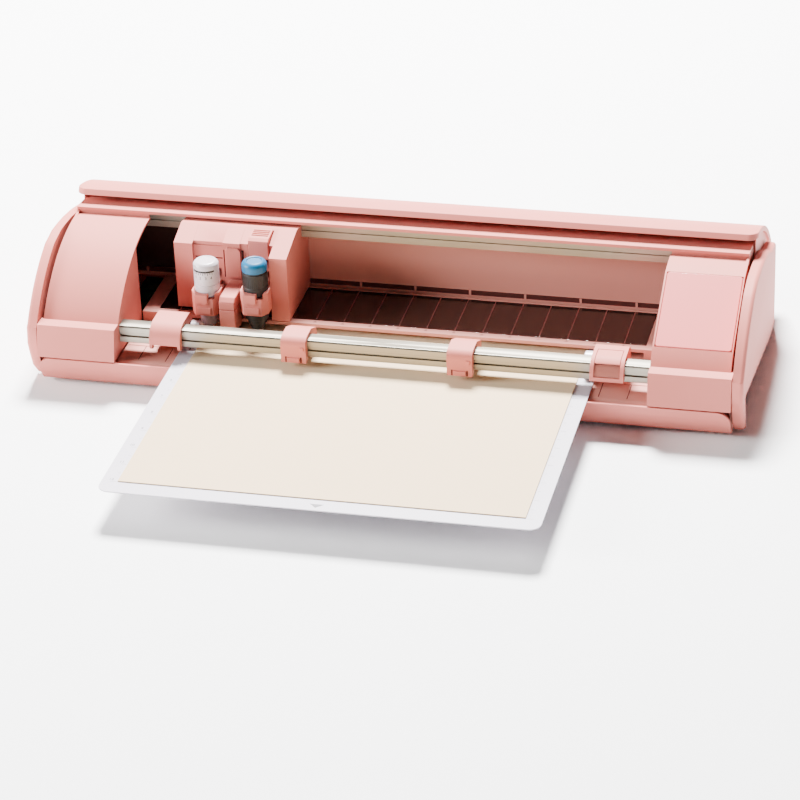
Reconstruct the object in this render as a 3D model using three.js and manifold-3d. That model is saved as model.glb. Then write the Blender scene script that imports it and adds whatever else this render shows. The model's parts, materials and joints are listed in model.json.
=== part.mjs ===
// Desktop die cutting machine with its lid open and a cutting mat in the feed.
// Millimetres. +X to the right seen from the front, +Y to the back, +Z up.
// The machine is drawn about its own middle plane and its curved covers share one centre line.
import * as THREE from "three";
import { mergeVertices } from "three/addons/utils/BufferGeometryUtils.js";
import Module from "manifold-3d";

const wasm = await Module();
wasm.setup();

// ---------------------------------------------------------------- driving dimensions

const GAP = 0.3; // between two pieces that touch
const RUN = 0.7; // between a moving piece and what it passes

const CASE = {
  width: 566.6, // over both side covers
  sideThickness: 8.6,
  lidSlot: 2.6, // slot for the lid's runners, beside each pod
  podWidth: 61.4,
  wall: 2,
  radius: 122, // curved face of the pods
  backY: 92,
  floorZ: 3,
  floorThickness: 2.2,
};
const ARC = { y: 9, z: -23.6 }; // centre line shared by pods, covers and lid
const LEDGE = { z: 52.5, depth: 10.5 };
const POD_BOTTOM_Z = 27.2;
const BOX_LEAN = 6; // how far the pods' front face leans out towards its foot
const TOP_COVER = { gap: 2.5, thickness: 2.5, frontY: 12.3 };
const LID = {
  gap: 11.5, // from the pods' face to the lid's inside
  thickness: 4.5,
  halfWidth: 276.5,
  front: 5.7, // degrees back from straight above the centre line
  back: 63,
  runnerFront: 12,
  runnerBack: 60,
  runnerDepth: 17.5,
  runnerThickness: 1.2,
};
const RIM = 7; // how far the side covers' rims stand out from the pods' face
// The dip in each side cover's rim: degrees round the shared centre line, depth below the rim.
const SADDLE = [[-22, 0], [-14, 2.5], [-10, 4.5], [-2, 7.4], [8, 9.5], [19, 9.5], [30, 9.5], [36, 4]];
const FOOT = { radius: 9, height: 2.7, insetX: 45, insetY: 17 };
const PANEL = { mid: -27.2, halfAngle: 16.6, distance: 117.2, thickness: 2.2, margins: [1.7, 1.2] };

const PLATEN = { topZ: 26.2, thickness: 4.2, backY: 84 };
const FEED = { y: -59.5, radius: 8, journal: 4, halfLength: 203 };
const BUSH = { radius: 5, thickness: 3.4 };
const GEAR = { module: 0.9, rollerTeeth: 24, pinionTeeth: 12, thickness: 6, tilt: 26.4 };
const FEED_MOTOR = { radius: 12, length: 32 };
const MAT = { width: 330, frontY: -292.5, backY: 63, thickness: 0.9, corner: 9 };
const PAPER = { size: 304.8, frontY: -278, thickness: 0.6 };
const STRIP = { halfWidth: 4, halfLength: 170, thickness: 0.9 };
const SENSOR_HOLE = { x: [185, 203], y: [-44, -30] };

const GUIDE = { bottomZ: 32, topZ: 35, frontY: -29, backY: 35.5, windowY: [-20.5, 31], windowHalf: 196 };
const RAIL = { frontY: 18.5, depth: 14.5, height: 10.3, wall: 1.8, groove: 0.8, grooveZ: [5.6, 6.6] };
const BELT = { pulleyRadius: 3.85, thickness: 1.05, halfSpan: 226, z: [3.1, 7.3] };
const END_FRAME = { x: 240, thickness: 2 };
const CARRIAGE_MOTOR = { radius: 11, length: 39 };
const BACK_WALL = { y: 38, thickness: 2, ribPitch: 45, ribDepth: 6 };
const REAR_SLOT = { halfWidth: 180, z: [24, 36] };

const BAR = { front: 24.5, depth: 12, bottomZ: 36, height: 14 }; // front is measured ahead of the feed axis
const PINCH = { wheelRadius: 8.5, axle: 2, lift: 0.8, front: 31, back: 4.5, topZ: 54 };
// wheel: -1, 1 for a wheel beside that end of the housing, 0 for one inside it
const HOUSINGS = [
  { x: -172.2, width: 25, bottomZ: 39, crown: 13, wheel: 1 },
  { x: -68, width: 20, bottomZ: 33.2, crown: 7, wheel: 0 },
  { x: 63.8, width: 20, bottomZ: 33.2, crown: 7, wheel: 0 },
  { x: 177.8, width: 26.1, bottomZ: 38.2, crown: 13, wheel: -1 },
];

const TOOL_Y = -37;
const CARRIAGE = {
  left: -182.6,
  right: -87,
  bottomZ: 36,
  backY: 36.5,
  rearFaceY: -14,
  leftFaceY: -18,
  postFaceY: -15,
  rightFaceY: -30,
  shoulderZ: 91,
  bays: [
    [-167.4, -143],
    [-129, -104],
  ],
};
const TOOL = { radius: 10.1, tipRadius: 7.6, clampHalf: 11.4, collarHalf: 9.5 };
const TOOL_1 = { x: -150.9, topZ: 89.4, clampZ: [46, 65], tipZ: 31.6 };
const TOOL_2 = { x: -111.2, topZ: 92.4, clampZ: [49, 68], tipZ: 33 };
const EYE = { x: [-138.7, -125.9], neckX: [-137, -128], bottomZ: 32.8, frontY: -49.5 }; // mark sensor
const BUTTON = { x: [-122, -105.5], frontY: -15.5, backY: 2, bottomZ: 82 };

const FASCIA = { drop: 0.2, bottomZ: 4, thickness: 2.5 }; // drop is below the platen's top
const TRAY = { z: 6.5, thickness: 2, halfWidth: 198, backY: 10 };

// ---------------------------------------------------------------- derived sizes

const innerPlane = CASE.width / 2 - CASE.sideThickness;
const podOuter = innerPlane - CASE.lidSlot;
const podInner = podOuter - CASE.podWidth;
const sideways = podInner - 210.7; // how much wider the working space is than the standard one
const ledgeBackY = ARC.y - Math.sqrt(CASE.radius ** 2 - (LEDGE.z - ARC.z) ** 2);
const ledgeFrontY = ledgeBackY - LEDGE.depth;
const boxFrontY = ledgeFrontY - BOX_LEAN;
const coverIn = CASE.radius + TOP_COVER.gap;
const coverOut = coverIn + TOP_COVER.thickness;
const lidIn = CASE.radius + LID.gap;
const lidOut = lidIn + LID.thickness;
const rimRadius = CASE.radius + RIM;
const railBackY = RAIL.frontY + RAIL.depth;
const railTopZ = arcHeight(coverIn, railBackY) - 0.8;
const railBottomZ = railTopZ - RAIL.height;
const pulleyY = RAIL.frontY + 8;
const matZ = PLATEN.topZ + GAP;
const paperZ = matZ + MAT.thickness + GAP;
const feedZ = PLATEN.topZ - FEED.radius;
const wheelZ = paperZ + PAPER.thickness + PINCH.lift + PINCH.wheelRadius;
const panTopZ = CASE.floorZ + CASE.floorThickness;
const platenBottomZ = PLATEN.topZ - PLATEN.thickness;
const bulkheadX = FEED.halfLength + 3.3 + sideways;

// ---------------------------------------------------------------- materials

const finish = (color, roughness, metalness = 0, extra = {}) =>
  new THREE.MeshStandardMaterial({ color, roughness, metalness, ...extra });
const pink = finish(0xe6b9b3, 0.5);
const innerPink = finish(0xb87a6b, 0.6);
const gloss = finish(0xf0c3bf, 0.12);
const white = finish(0xe8e4e8, 0.35);
const mauve = finish(0xa49aa2, 0.45);
const charcoal = finish(0x5a5656, 0.45);
const nozzleGrey = finish(0x4a4c4e, 0.4);
const blue = finish(0x35b8dc, 0.3);
const rubber = finish(0x2b2b2b, 0.9);
const aluminium = finish(0xd8d4c8, 0.35, 0.9);
const steel = finish(0xa9abad, 0.3, 1);
const brass = finish(0xb89a55, 0.35, 1);
const board = finish(0x2f6b46, 0.6);
const paper = finish(0xf0e6dc, 0.9);
const frosted = finish(0xe8e4ec, 0.4, 0, { transparent: true, opacity: 0.7 });
const clear = finish(0xb9aaa8, 0.08, 0, { transparent: true, opacity: 0.35 });

// ---------------------------------------------------------------- shape helpers

function arcHeight(radius, y) {
  return ARC.z + Math.sqrt(radius ** 2 - (y - ARC.y) ** 2);
}

function arcDegrees(radius, y) {
  return THREE.MathUtils.radToDeg(Math.asin((y - ARC.y) / radius));
}

// A point of the side view at a radius from the shared centre line; 0 degrees is straight up.
function arcPoint(radius, degrees) {
  const angle = THREE.MathUtils.degToRad(degrees);
  return [ARC.y + radius * Math.sin(angle), ARC.z + radius * Math.cos(angle)];
}

function arc(radius, from, to, steps = 14) {
  return Array.from({ length: steps + 1 }, (_, i) => arcPoint(radius, from + ((to - from) * i) / steps));
}

// A round stretch of any outline, in degrees counter-clockwise from its first axis.
function bend(a, b, radius, from, to, steps = 6) {
  return Array.from({ length: steps + 1 }, (_, i) => {
    const angle = THREE.MathUtils.degToRad(from + ((to - from) * i) / steps);
    return [a + radius * Math.cos(angle), b + radius * Math.sin(angle)];
  });
}

function solid(geometry) {
  geometry.deleteAttribute("normal");
  geometry.deleteAttribute("uv");
  const merged = mergeVertices(geometry, 1e-4);
  const index = Array.from(merged.index.array);
  const triangles = [];
  for (let i = 0; i < index.length; i += 3) {
    const [a, b, c] = index.slice(i, i + 3);
    if (a !== b && b !== c && a !== c) triangles.push(a, b, c);
  }
  const mesh = new wasm.Mesh({
    numProp: 3,
    vertProperties: new Float32Array(merged.attributes.position.array),
    triVerts: new Uint32Array(triangles),
  });
  return new wasm.Manifold(mesh);
}

function extruded(points, depth, across, up, along) {
  const shape = new THREE.Shape(points.map(([a, b]) => new THREE.Vector2(a, b)));
  const geometry = new THREE.ExtrudeGeometry(shape, { depth, bevelEnabled: false, steps: 1 });
  return geometry.applyMatrix4(new THREE.Matrix4().makeBasis(across, up, along));
}

const X = new THREE.Vector3(1, 0, 0);
const Y = new THREE.Vector3(0, 1, 0);
const Z = new THREE.Vector3(0, 0, 1);

// Side view (y, z) carried along X.
function slab(points, x0, x1) {
  return solid(extruded(points, x1 - x0, Y, Z, X).translate(x0, 0, 0));
}

// Plan view (x, y) carried up Z.
function plate(points, z0, z1) {
  return solid(extruded(points, z1 - z0, X, Y, Z).translate(0, 0, z0));
}

// Front view (x, z) carried back along Y.
function upright(points, y0, y1) {
  return solid(extruded(points, y1 - y0, X, Z, Y.clone().negate()).translate(0, y1, 0));
}

function box([x0, x1], [y0, y1], [z0, z1]) {
  const geometry = new THREE.BoxGeometry(x1 - x0, y1 - y0, z1 - z0);
  return solid(geometry.translate((x0 + x1) / 2, (y0 + y1) / 2, (z0 + z1) / 2));
}

// A round bar along X between two ends, at a place in the side view.
function rodX(radius, x0, x1, y, z, segments = 32) {
  const geometry = new THREE.CylinderGeometry(radius, radius, x1 - x0, segments).rotateZ(-Math.PI / 2);
  return solid(geometry.translate((x0 + x1) / 2, y, z));
}

function rodZ(radius, z0, z1, x, y, segments = 32) {
  const geometry = new THREE.CylinderGeometry(radius, radius, z1 - z0, segments).rotateX(Math.PI / 2);
  return solid(geometry.translate(x, y, (z0 + z1) / 2));
}

// A turned piece on a vertical axis from (radius, z) points that start and end on the axis.
function turned(profile, x, y, segments = 32) {
  const points = profile.map(([radius, z]) => new THREE.Vector2(radius, z));
  return solid(new THREE.LatheGeometry(points, segments).rotateX(Math.PI / 2).translate(x, y, 0));
}

function union(...solids) {
  return solids.reduce((sum, next) => sum.add(next));
}

function roundedRectangle(x0, x1, y0, y1, radius) {
  return [
    ...bend(x1 - radius, y1 - radius, radius, 0, 90),
    ...bend(x0 + radius, y1 - radius, radius, 90, 180),
    ...bend(x0 + radius, y0 + radius, radius, 180, 270),
    ...bend(x1 - radius, y0 + radius, radius, 270, 360),
  ];
}

// Mirrors a side view slab onto the left or right of the machine.
function sided(side, x0, x1) {
  return side < 0 ? [-x1, -x0] : [x0, x1];
}

const machine = new THREE.Group();

function add(name, body, material, parent = machine) {
  const { vertProperties, triVerts } = body.getMesh();
  const geometry = new THREE.BufferGeometry();
  geometry.setAttribute("position", new THREE.BufferAttribute(vertProperties, 3));
  geometry.setIndex(new THREE.BufferAttribute(triVerts, 1));
  geometry.computeVertexNormals();
  const mesh = new THREE.Mesh(geometry, material);
  mesh.name = name;
  parent.add(mesh);
  return mesh;
}

// ---------------------------------------------------------------- base

const motorX = [podInner + 13.3, podInner + 13.3 + FEED_MOTOR.length];
const tilt = THREE.MathUtils.degToRad(GEAR.tilt);
const gearSpacing = (GEAR.module * (GEAR.rollerTeeth + GEAR.pinionTeeth)) / 2;
const pinionY = FEED.y + gearSpacing * Math.cos(tilt);
const pinionZ = feedZ + gearSpacing * Math.sin(tilt);
const panFrontY = boxFrontY + 13;
const panBackY = CASE.backY - 4;
const boardX = [-END_FRAME.x - sideways + 2, -podInner - 4];
const boardY = [-10, 70];
const boardZ = 12;

function basePan() {
  const halfWidth = innerPlane - 0.5;
  let pan = box([-halfWidth, halfWidth], [panFrontY, panBackY], [CASE.floorZ, panTopZ]);
  for (const side of [-1, 1]) {
    const wall = sided(side, halfWidth - 2.2, halfWidth);
    pan = pan.add(box(wall, [panFrontY, panBackY], [CASE.floorZ, POD_BOTTOM_Z - GAP]));
    const bulkhead = sided(side, bulkheadX, bulkheadX + 3);
    pan = pan.add(box(bulkhead, [FEED.y - 16, PLATEN.backY], [CASE.floorZ, platenBottomZ - GAP]));
    pan = pan.subtract(rodX(BUSH.radius + GAP, bulkhead[0] - 1, bulkhead[1] + 1, FEED.y, feedZ));
  }
  const saddle = box([motorX[0] + 10, motorX[0] + 20], [pinionY - 13, pinionY + 13], [CASE.floorZ, pinionZ]);
  const motorSeat = rodX(FEED_MOTOR.radius + GAP, motorX[0], motorX[1], pinionY, pinionZ);
  pan = pan.add(saddle.subtract(motorSeat));
  for (const x of [boardX[0] + 5, boardX[1] - 5]) {
    for (const y of [boardY[0] + 5, boardY[1] - 5]) {
      pan = pan.add(rodZ(3, CASE.floorZ, boardZ - GAP, x, y, 16));
    }
  }
  return pan;
}

add("base_pan", basePan(), innerPink);

for (const [end, y] of [["front", panFrontY + FOOT.insetY], ["rear", panBackY - FOOT.insetY]]) {
  for (const [hand, side] of [["left", -1], ["right", 1]]) {
    const x = side * (CASE.width / 2 - FOOT.insetX);
    const { radius, height } = FOOT;
    const profile = [[0, 0], [radius - 1, 0], [radius, 1], [radius, height], [0, height]];
    add(`foot_${end}_${hand}`, turned(profile, x, y, 24), rubber);
  }
}

const boardPlate = box(boardX, boardY, [boardZ, boardZ + 1.6]);
const chips = [[3, 14, 16], [5, 36, 10], [4, 54, 14]].map(([x, y, size]) =>
  box([boardX[0] + x, boardX[0] + x + size], [boardY[0] + y, boardY[0] + y + size], [boardZ + 1, boardZ + 4]),
);
add("control_board", union(boardPlate, ...chips), board);

const inletX = podInner + 20;
const inletZ = 18;
function powerInlet() {
  const body = box([inletX, inletX + 14], [CASE.backY - 14, CASE.backY - 0.2], [inletZ - 6, inletZ + 6]);
  const bore = new THREE.CylinderGeometry(3.2, 3.2, 11, 24).translate(inletX + 7, CASE.backY - 5, inletZ);
  return body.subtract(solid(bore));
}
add("power_inlet", powerInlet(), charcoal);

// ---------------------------------------------------------------- covers

function sideCover(side) {
  const outer = CASE.width / 2;
  const rimFront = arcDegrees(rimRadius, ARC.y - Math.sqrt(rimRadius ** 2 - (LEDGE.z - ARC.z) ** 2));
  const outline = [
    [boxFrontY + 18.9, CASE.floorZ],
    [boxFrontY + 10.1, 13],
    [boxFrontY + 6.4, 24],
    [boxFrontY + 3, 36],
    [boxFrontY + 5, 50],
    ...arc(rimRadius, rimFront, SADDLE[0][0] - 2, 10),
    ...SADDLE.map(([degrees, depth]) => arcPoint(rimRadius - depth, degrees)),
    [CASE.backY, arcHeight(rimRadius, CASE.backY)],
    [CASE.backY, CASE.floorZ],
  ];
  const scoop = [[boxFrontY + 17, 33], [boxFrontY + 23, CASE.floorZ - 1], [60, CASE.floorZ - 1], [60, 6]];
  const hollowRadius = rimRadius - 13;
  const hollow = [
    [boxFrontY + 14, 40],
    [boxFrontY + 10, 49],
    ...arc(hollowRadius, -48, arcDegrees(hollowRadius, CASE.backY - 3), 12),
    [CASE.backY - 3, 12],
    [62, 12],
  ];
  return slab(outline, ...sided(side, innerPlane, outer))
    .subtract(slab(scoop, ...sided(side, outer - 6, outer + 1)))
    .subtract(slab(hollow, ...sided(side, innerPlane - 1, outer - 3)));
}

add("side_cover_left", sideCover(-1), pink);
add("side_cover_right", sideCover(1), pink);

const podBackDegrees = arcDegrees(CASE.radius, TOP_COVER.frontY - 0.1);
const barY = [FEED.y - BAR.front, FEED.y - BAR.front + BAR.depth];
const barZ = [BAR.bottomZ, BAR.bottomZ + BAR.height];

function podShell(side) {
  const { wall, radius } = CASE;
  const outline = [
    [boxFrontY, POD_BOTTOM_Z],
    [ledgeFrontY, LEDGE.z],
    ...arc(radius, arcDegrees(radius, ledgeBackY), podBackDegrees, 18),
    [TOP_COVER.frontY - 0.1, POD_BOTTOM_Z],
  ];
  const innerLedgeY = ARC.y - Math.sqrt((radius - wall) ** 2 - (LEDGE.z - wall - ARC.z) ** 2);
  const inside = [
    [boxFrontY + wall, POD_BOTTOM_Z - 1],
    [ledgeFrontY + wall, LEDGE.z - wall],
    ...arc(radius - wall, arcDegrees(radius - wall, innerLedgeY), podBackDegrees + 1, 18),
    [TOP_COVER.frontY + 3, POD_BOTTOM_Z - 1],
  ];
  const sideWall = [
    [0, POD_BOTTOM_Z],
    [0, arcHeight(radius, 0) - 1],
    ...arc(coverIn - 0.5, podBackDegrees + 0.2, arcDegrees(coverIn - 0.5, panBackY - 1), 10),
    [panBackY - 1, POD_BOTTOM_Z],
  ];
  const cheek = [
    [boxFrontY, POD_BOTTOM_Z],
    [ledgeFrontY, LEDGE.z],
    [ledgeFrontY + 12, LEDGE.z],
    [ledgeFrontY + 12, POD_BOTTOM_Z],
  ];
  const room = slab(inside, ...sided(side, podInner + wall, podOuter - wall));
  const openBack = slab(inside, ...sided(side, podInner - 1, podInner + wall + 1)).intersect(
    box(sided(side, podInner - 2, podInner + wall + 2), [-28, 40], [0, 120]),
  );
  const barHole = box(
    sided(side, podInner - 1, podInner + wall + 1),
    [barY[0] - GAP, barY[1] + GAP],
    [barZ[0] - GAP, barZ[1] + GAP],
  );
  return slab(outline, ...sided(side, podInner, podOuter))
    .subtract(room)
    .subtract(openBack)
    .subtract(barHole)
    .add(slab(sideWall, ...sided(side, podOuter - wall, podOuter)))
    .add(slab(cheek, ...sided(side, podOuter - wall, innerPlane - 0.5)));
}

// A flat-faced block of the side view, centred on the touch panel's direction.
function facet(low, high, halfLength, x0, x1) {
  const angle = THREE.MathUtils.degToRad(PANEL.mid);
  const out = [Math.sin(angle), Math.cos(angle)];
  const along = [Math.cos(angle), -Math.sin(angle)];
  const corner = (d, t) => [ARC.y + d * out[0] + t * along[0], ARC.z + d * out[1] + t * along[1]];
  const points = [
    corner(low, -halfLength),
    corner(high, -halfLength),
    corner(high, halfLength),
    corner(low, halfLength),
  ];
  return slab(points, x0, x1);
}

const panelScale = CASE.radius / 122;
const panelHalf = ((PANEL.distance * panelScale) * Math.tan(THREE.MathUtils.degToRad(PANEL.halfAngle)));
const panelTop = PANEL.distance * panelScale;
const panelX = [podInner + PANEL.margins[0], podOuter - PANEL.margins[1]];

function podWithPanel() {
  const seat = panelTop - PANEL.thickness - GAP;
  const round = [...arc(CASE.radius - 0.2, -60, 10, 20), [60, ARC.z], [-100, ARC.z]];
  const backing = facet(seat - 3, panelTop, panelHalf + 4, podInner, podOuter).intersect(
    slab(round, podInner, podOuter),
  );
  const flat = facet(panelTop - 0.1, panelTop + 12, panelHalf + 6, podInner - 1, podOuter + 1);
  const pocket = facet(seat, panelTop + 5, panelHalf + GAP, panelX[0] - GAP, panelX[1] + GAP);
  return podShell(1).add(backing).subtract(flat).subtract(pocket);
}

add("pod_left", podShell(-1), pink);
add("pod_right", podWithPanel(), pink);
add("touch_panel", facet(panelTop - PANEL.thickness, panelTop, panelHalf, ...panelX), gloss);

const coverFront = arcDegrees(coverIn, TOP_COVER.frontY);
const coverBack = arcDegrees(coverIn, CASE.backY - 1.5);
const topCoverOutline = [
  ...arc(coverOut, coverFront, coverBack, 14),
  ...arc(coverIn, coverBack, coverFront, 14),
];
// Its front edge turns down behind each pod and closes the gap over the pod's back.
const lipFront = arcDegrees(CASE.radius - 1, TOP_COVER.frontY + GAP);
const coverLip = [
  ...arc(coverOut - 0.5, lipFront, lipFront + 0.8, 1),
  ...arc(CASE.radius - 1, lipFront + 0.8, lipFront, 1),
];
let topCover = slab(topCoverOutline, -podOuter + 0.1, podOuter - 0.1);
for (const side of [-1, 1]) {
  topCover = topCover.add(slab(coverLip, ...sided(side, podInner + 1, podOuter - CASE.wall - GAP)));
}
add("top_cover", topCover, pink);

function rearCover() {
  const topZ = arcHeight(coverIn, CASE.backY - 0.5) - 1.5;
  const sheet = box([-podOuter, podOuter], [CASE.backY - 3.5, CASE.backY - 0.5], [CASE.floorZ, topZ]);
  const { halfWidth, z } = REAR_SLOT;
  const slot = box([-halfWidth, halfWidth], [CASE.backY - 9, CASE.backY + 1], z);
  const inletHole = box(
    [inletX - GAP, inletX + 14 + GAP],
    [CASE.backY - 9, CASE.backY + 1],
    [inletZ - 6 - GAP, inletZ + 6 + GAP],
  );
  return sheet.subtract(slot).subtract(inletHole);
}
add("rear_cover", rearCover(), pink);

function lidShell() {
  const outline = [...arc(lidOut, LID.front + 1.2, LID.back, 22), ...arc(lidIn, LID.back, LID.front, 22)];
  let lid = slab(outline, -LID.halfWidth - sideways, LID.halfWidth + sideways);
  const runner = [
    ...arc(lidIn + 1, LID.runnerFront, LID.runnerBack, 14),
    ...arc(lidIn - LID.runnerDepth, LID.runnerBack, LID.runnerFront, 14),
  ];
  for (const side of [-1, 1]) {
    const near = podOuter + RUN;
    lid = lid.add(slab(runner, ...sided(side, near, near + LID.runnerThickness)));
  }
  return lid;
}
add("lid", lidShell(), pink);

// ---------------------------------------------------------------- platen and mat guide

function platen() {
  const halfWidth = podInner - 0.5;
  const frontY = boxFrontY + 5.9;
  const outline = [
    [frontY, platenBottomZ],
    ...bend(frontY + 4.2, platenBottomZ, 4.2, 180, 90),
    [PLATEN.backY, PLATEN.topZ],
    [PLATEN.backY, platenBottomZ],
  ].slice(1);
  const reach = Math.sqrt(FEED.radius ** 2 - (platenBottomZ - feedZ) ** 2);
  const slotHalf = Math.max(reach, FEED.radius) + 0.6;
  const slot = box(
    [-FEED.halfLength - 1 - sideways, FEED.halfLength + 1 + sideways],
    [FEED.y - slotHalf, FEED.y + slotHalf],
    [0, 60],
  );
  const groove = box(
    [-STRIP.halfLength - GAP, STRIP.halfLength + GAP],
    [TOOL_Y - STRIP.halfWidth - GAP, TOOL_Y + STRIP.halfWidth + GAP],
    [PLATEN.topZ - STRIP.thickness - GAP, PLATEN.topZ + 1],
  );
  let body = slab(outline, -halfWidth, halfWidth).subtract(slot).subtract(groove);
  body = body.subtract(box(SENSOR_HOLE.x, SENSOR_HOLE.y, [0, 60]));
  for (const side of [-1, 1]) {
    const over = sided(side, FEED.halfLength + sideways, halfWidth + 1);
    const roof = feedZ + BUSH.radius + GAP;
    body = body.subtract(box(over, [FEED.y - BUSH.radius - 1, FEED.y + BUSH.radius + 1], [0, roof]));
  }
  return body;
}
add("platen", platen(), innerPink);

const stripBottom = PLATEN.topZ - STRIP.thickness;
const stripY = [TOOL_Y - STRIP.halfWidth, TOOL_Y + STRIP.halfWidth];
add("cutting_strip", box([-STRIP.halfLength, STRIP.halfLength], stripY, [stripBottom, PLATEN.topZ]), mauve);

const guideHalf = podInner - 1.2;
const rebate = 1.5;
function matGuide() {
  const { bottomZ, topZ, frontY, backY, windowY, windowHalf } = GUIDE;
  const open = box([-windowHalf, windowHalf], windowY, [0, 60]);
  const seat = box(
    [-windowHalf - rebate, windowHalf + rebate],
    [windowY[0] - rebate, windowY[1] + rebate],
    [bottomZ + 1, 60],
  );
  let guide = box([-guideHalf, guideHalf], [frontY, backY], [bottomZ, topZ]).subtract(open).subtract(seat);
  for (const side of [-1, 1]) {
    const legX = sided(side, guideHalf - 13, guideHalf);
    guide = guide.add(box(legX, [frontY, backY], [PLATEN.topZ + GAP, bottomZ + 1]));
  }
  return guide;
}
add("mat_guide", matGuide(), innerPink);

const windowX = GUIDE.windowHalf + rebate - GAP;
const windowY = [GUIDE.windowY[0] - rebate + GAP, GUIDE.windowY[1] + rebate - GAP];
add("guide_window", box([-windowX, windowX], windowY, [GUIDE.bottomZ + 1 + GAP, GUIDE.topZ]), clear);

function backWall() {
  const halfWidth = END_FRAME.x + sideways - GAP;
  const { y, thickness, ribPitch, ribDepth } = BACK_WALL;
  let wall = box([-halfWidth, halfWidth], [y, y + thickness], [GUIDE.bottomZ + 0.5, railBottomZ - 2]);
  const count = Math.floor(REAR_SLOT.halfWidth / ribPitch);
  for (let i = -count; i <= count; i += 1) {
    const rib = [i * ribPitch - 1, i * ribPitch + 1];
    wall = wall.add(box(rib, [y, y + ribDepth], [paperZ + PAPER.thickness + RUN, GUIDE.bottomZ + 2]));
  }
  return wall;
}
add("back_wall", backWall(), innerPink);

// ---------------------------------------------------------------- feed drive

// A toothed wheel in the side view; one tooth points along `first` degrees.
function gearOutline(teeth, first) {
  const pitch = (GEAR.module * teeth) / 2;
  const root = pitch - GEAR.module;
  const tip = pitch + GEAR.module * 0.8;
  const step = 360 / teeth;
  return Array.from({ length: teeth }, (_, i) => {
    const middle = first + i * step;
    return [[root, -0.25], [tip, -0.1], [tip, 0.1], [root, 0.25]].map(([radius, share]) => {
      const angle = THREE.MathUtils.degToRad(middle + share * step);
      return [radius * Math.cos(angle), radius * Math.sin(angle)];
    });
  }).flat();
}

function gearX(teeth, first, x0, x1, y, z) {
  return slab(gearOutline(teeth, first), x0, x1).translate(0, y, z);
}

const gearStart = podInner + CASE.wall + 1.5;
const rollerHalf = FEED.halfLength + sideways;
const roller = union(
  rodX(FEED.radius, -rollerHalf, rollerHalf, FEED.y, feedZ, 40),
  rodX(FEED.journal, -bulkheadX - 6, gearStart - GAP, FEED.y, feedZ, 24),
);
add("feed_roller", roller, steel);

for (const [hand, side] of [["left", -1], ["right", 1]]) {
  const span = sided(side, bulkheadX, bulkheadX + BUSH.thickness);
  const bore = rodX(FEED.journal + GAP, span[0] - 1, span[1] + 1, FEED.y, feedZ, 24);
  add(`roller_bush_${hand}`, rodX(BUSH.radius, ...span, FEED.y, feedZ, 24).subtract(bore), brass);
}

const gearEnd = gearStart + GEAR.thickness;
add("roller_gear", gearX(GEAR.rollerTeeth, GEAR.tilt, gearStart, gearEnd, FEED.y, feedZ), white);
const pinionFirst = GEAR.tilt + 180 + 180 / GEAR.pinionTeeth;
const pinion = gearX(GEAR.pinionTeeth, pinionFirst, gearStart, gearEnd, pinionY, pinionZ).add(
  rodX(1.5, gearEnd - 1, motorX[0] + 14, pinionY, pinionZ, 16),
);
add("motor_pinion", pinion, brass);
const feedMotor = rodX(FEED_MOTOR.radius, ...motorX, pinionY, pinionZ).subtract(
  rodX(1.5 + GAP, motorX[0] - 1, motorX[0] + 15, pinionY, pinionZ, 16),
);
add("feed_motor", feedMotor, steel);

// ---------------------------------------------------------------- carriage rail, belt and drive

const railHalf = END_FRAME.x + sideways - GAP;
const beltHalf = BELT.halfSpan + sideways;

function rail() {
  const channel = box([-railHalf, railHalf], [RAIL.frontY, railBackY], [railBottomZ, railTopZ]).subtract(
    box(
      [-railHalf - 1, railHalf + 1],
      [RAIL.frontY + RAIL.wall, railBackY + 1],
      [railBottomZ + RAIL.wall, railTopZ - RAIL.wall],
    ),
  );
  const groove = box(
    [-railHalf - 1, railHalf + 1],
    [RAIL.frontY - 1, RAIL.frontY + RAIL.groove],
    RAIL.grooveZ.map((z) => railBottomZ + z),
  );
  const idlerPin = rodZ(1.5, railBottomZ + 0.5, railTopZ - 0.5, -beltHalf, pulleyY, 16);
  const shaftHole = rodZ(2.2, railBottomZ - 1, railBottomZ + RAIL.wall + 1, beltHalf, pulleyY, 16);
  return channel.subtract(groove).add(idlerPin).subtract(shaftHole);
}
add("carriage_rail", rail(), aluminium);

function beltOutline(radius) {
  return [...bend(beltHalf, pulleyY, radius, -90, 90, 10), ...bend(-beltHalf, pulleyY, radius, 90, 270, 10)];
}
const beltIn = BELT.pulleyRadius + GAP;
const beltZ = [railBottomZ + BELT.z[0], railBottomZ + BELT.z[1]];
const belt = plate(beltOutline(beltIn + BELT.thickness), ...beltZ).subtract(
  plate(beltOutline(beltIn), beltZ[0] - 1, beltZ[1] + 1),
);
add("drive_belt", belt, rubber);

function pulley(x) {
  const bottom = railBottomZ + RAIL.wall + GAP;
  const top = railTopZ - RAIL.wall - GAP;
  return union(
    rodZ(BELT.pulleyRadius, bottom, top, x, pulleyY, 24),
    rodZ(beltIn + BELT.thickness, bottom, beltZ[0] - GAP, x, pulleyY, 24),
    rodZ(beltIn + BELT.thickness, beltZ[1] + GAP, top, x, pulleyY, 24),
  );
}
add("idler_pulley", pulley(-beltHalf).subtract(rodZ(1.5 + GAP, 0, 200, -beltHalf, pulleyY, 16)), white);
const motorTopZ = railBottomZ - GAP;
const driveShaft = rodZ(1.5, motorTopZ - 16, railTopZ - RAIL.wall - 1, beltHalf, pulleyY, 16);
add("drive_pulley", pulley(beltHalf).add(driveShaft), brass);
const motorBottomZ = motorTopZ - CARRIAGE_MOTOR.length;
const shaftRoom = rodZ(1.5 + GAP, motorTopZ - 17, motorTopZ + 1, beltHalf, pulleyY, 16);
const motorCan = rodZ(CARRIAGE_MOTOR.radius, motorBottomZ, motorTopZ, beltHalf, pulleyY);
add("carriage_motor", motorCan.subtract(shaftRoom), steel);

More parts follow.
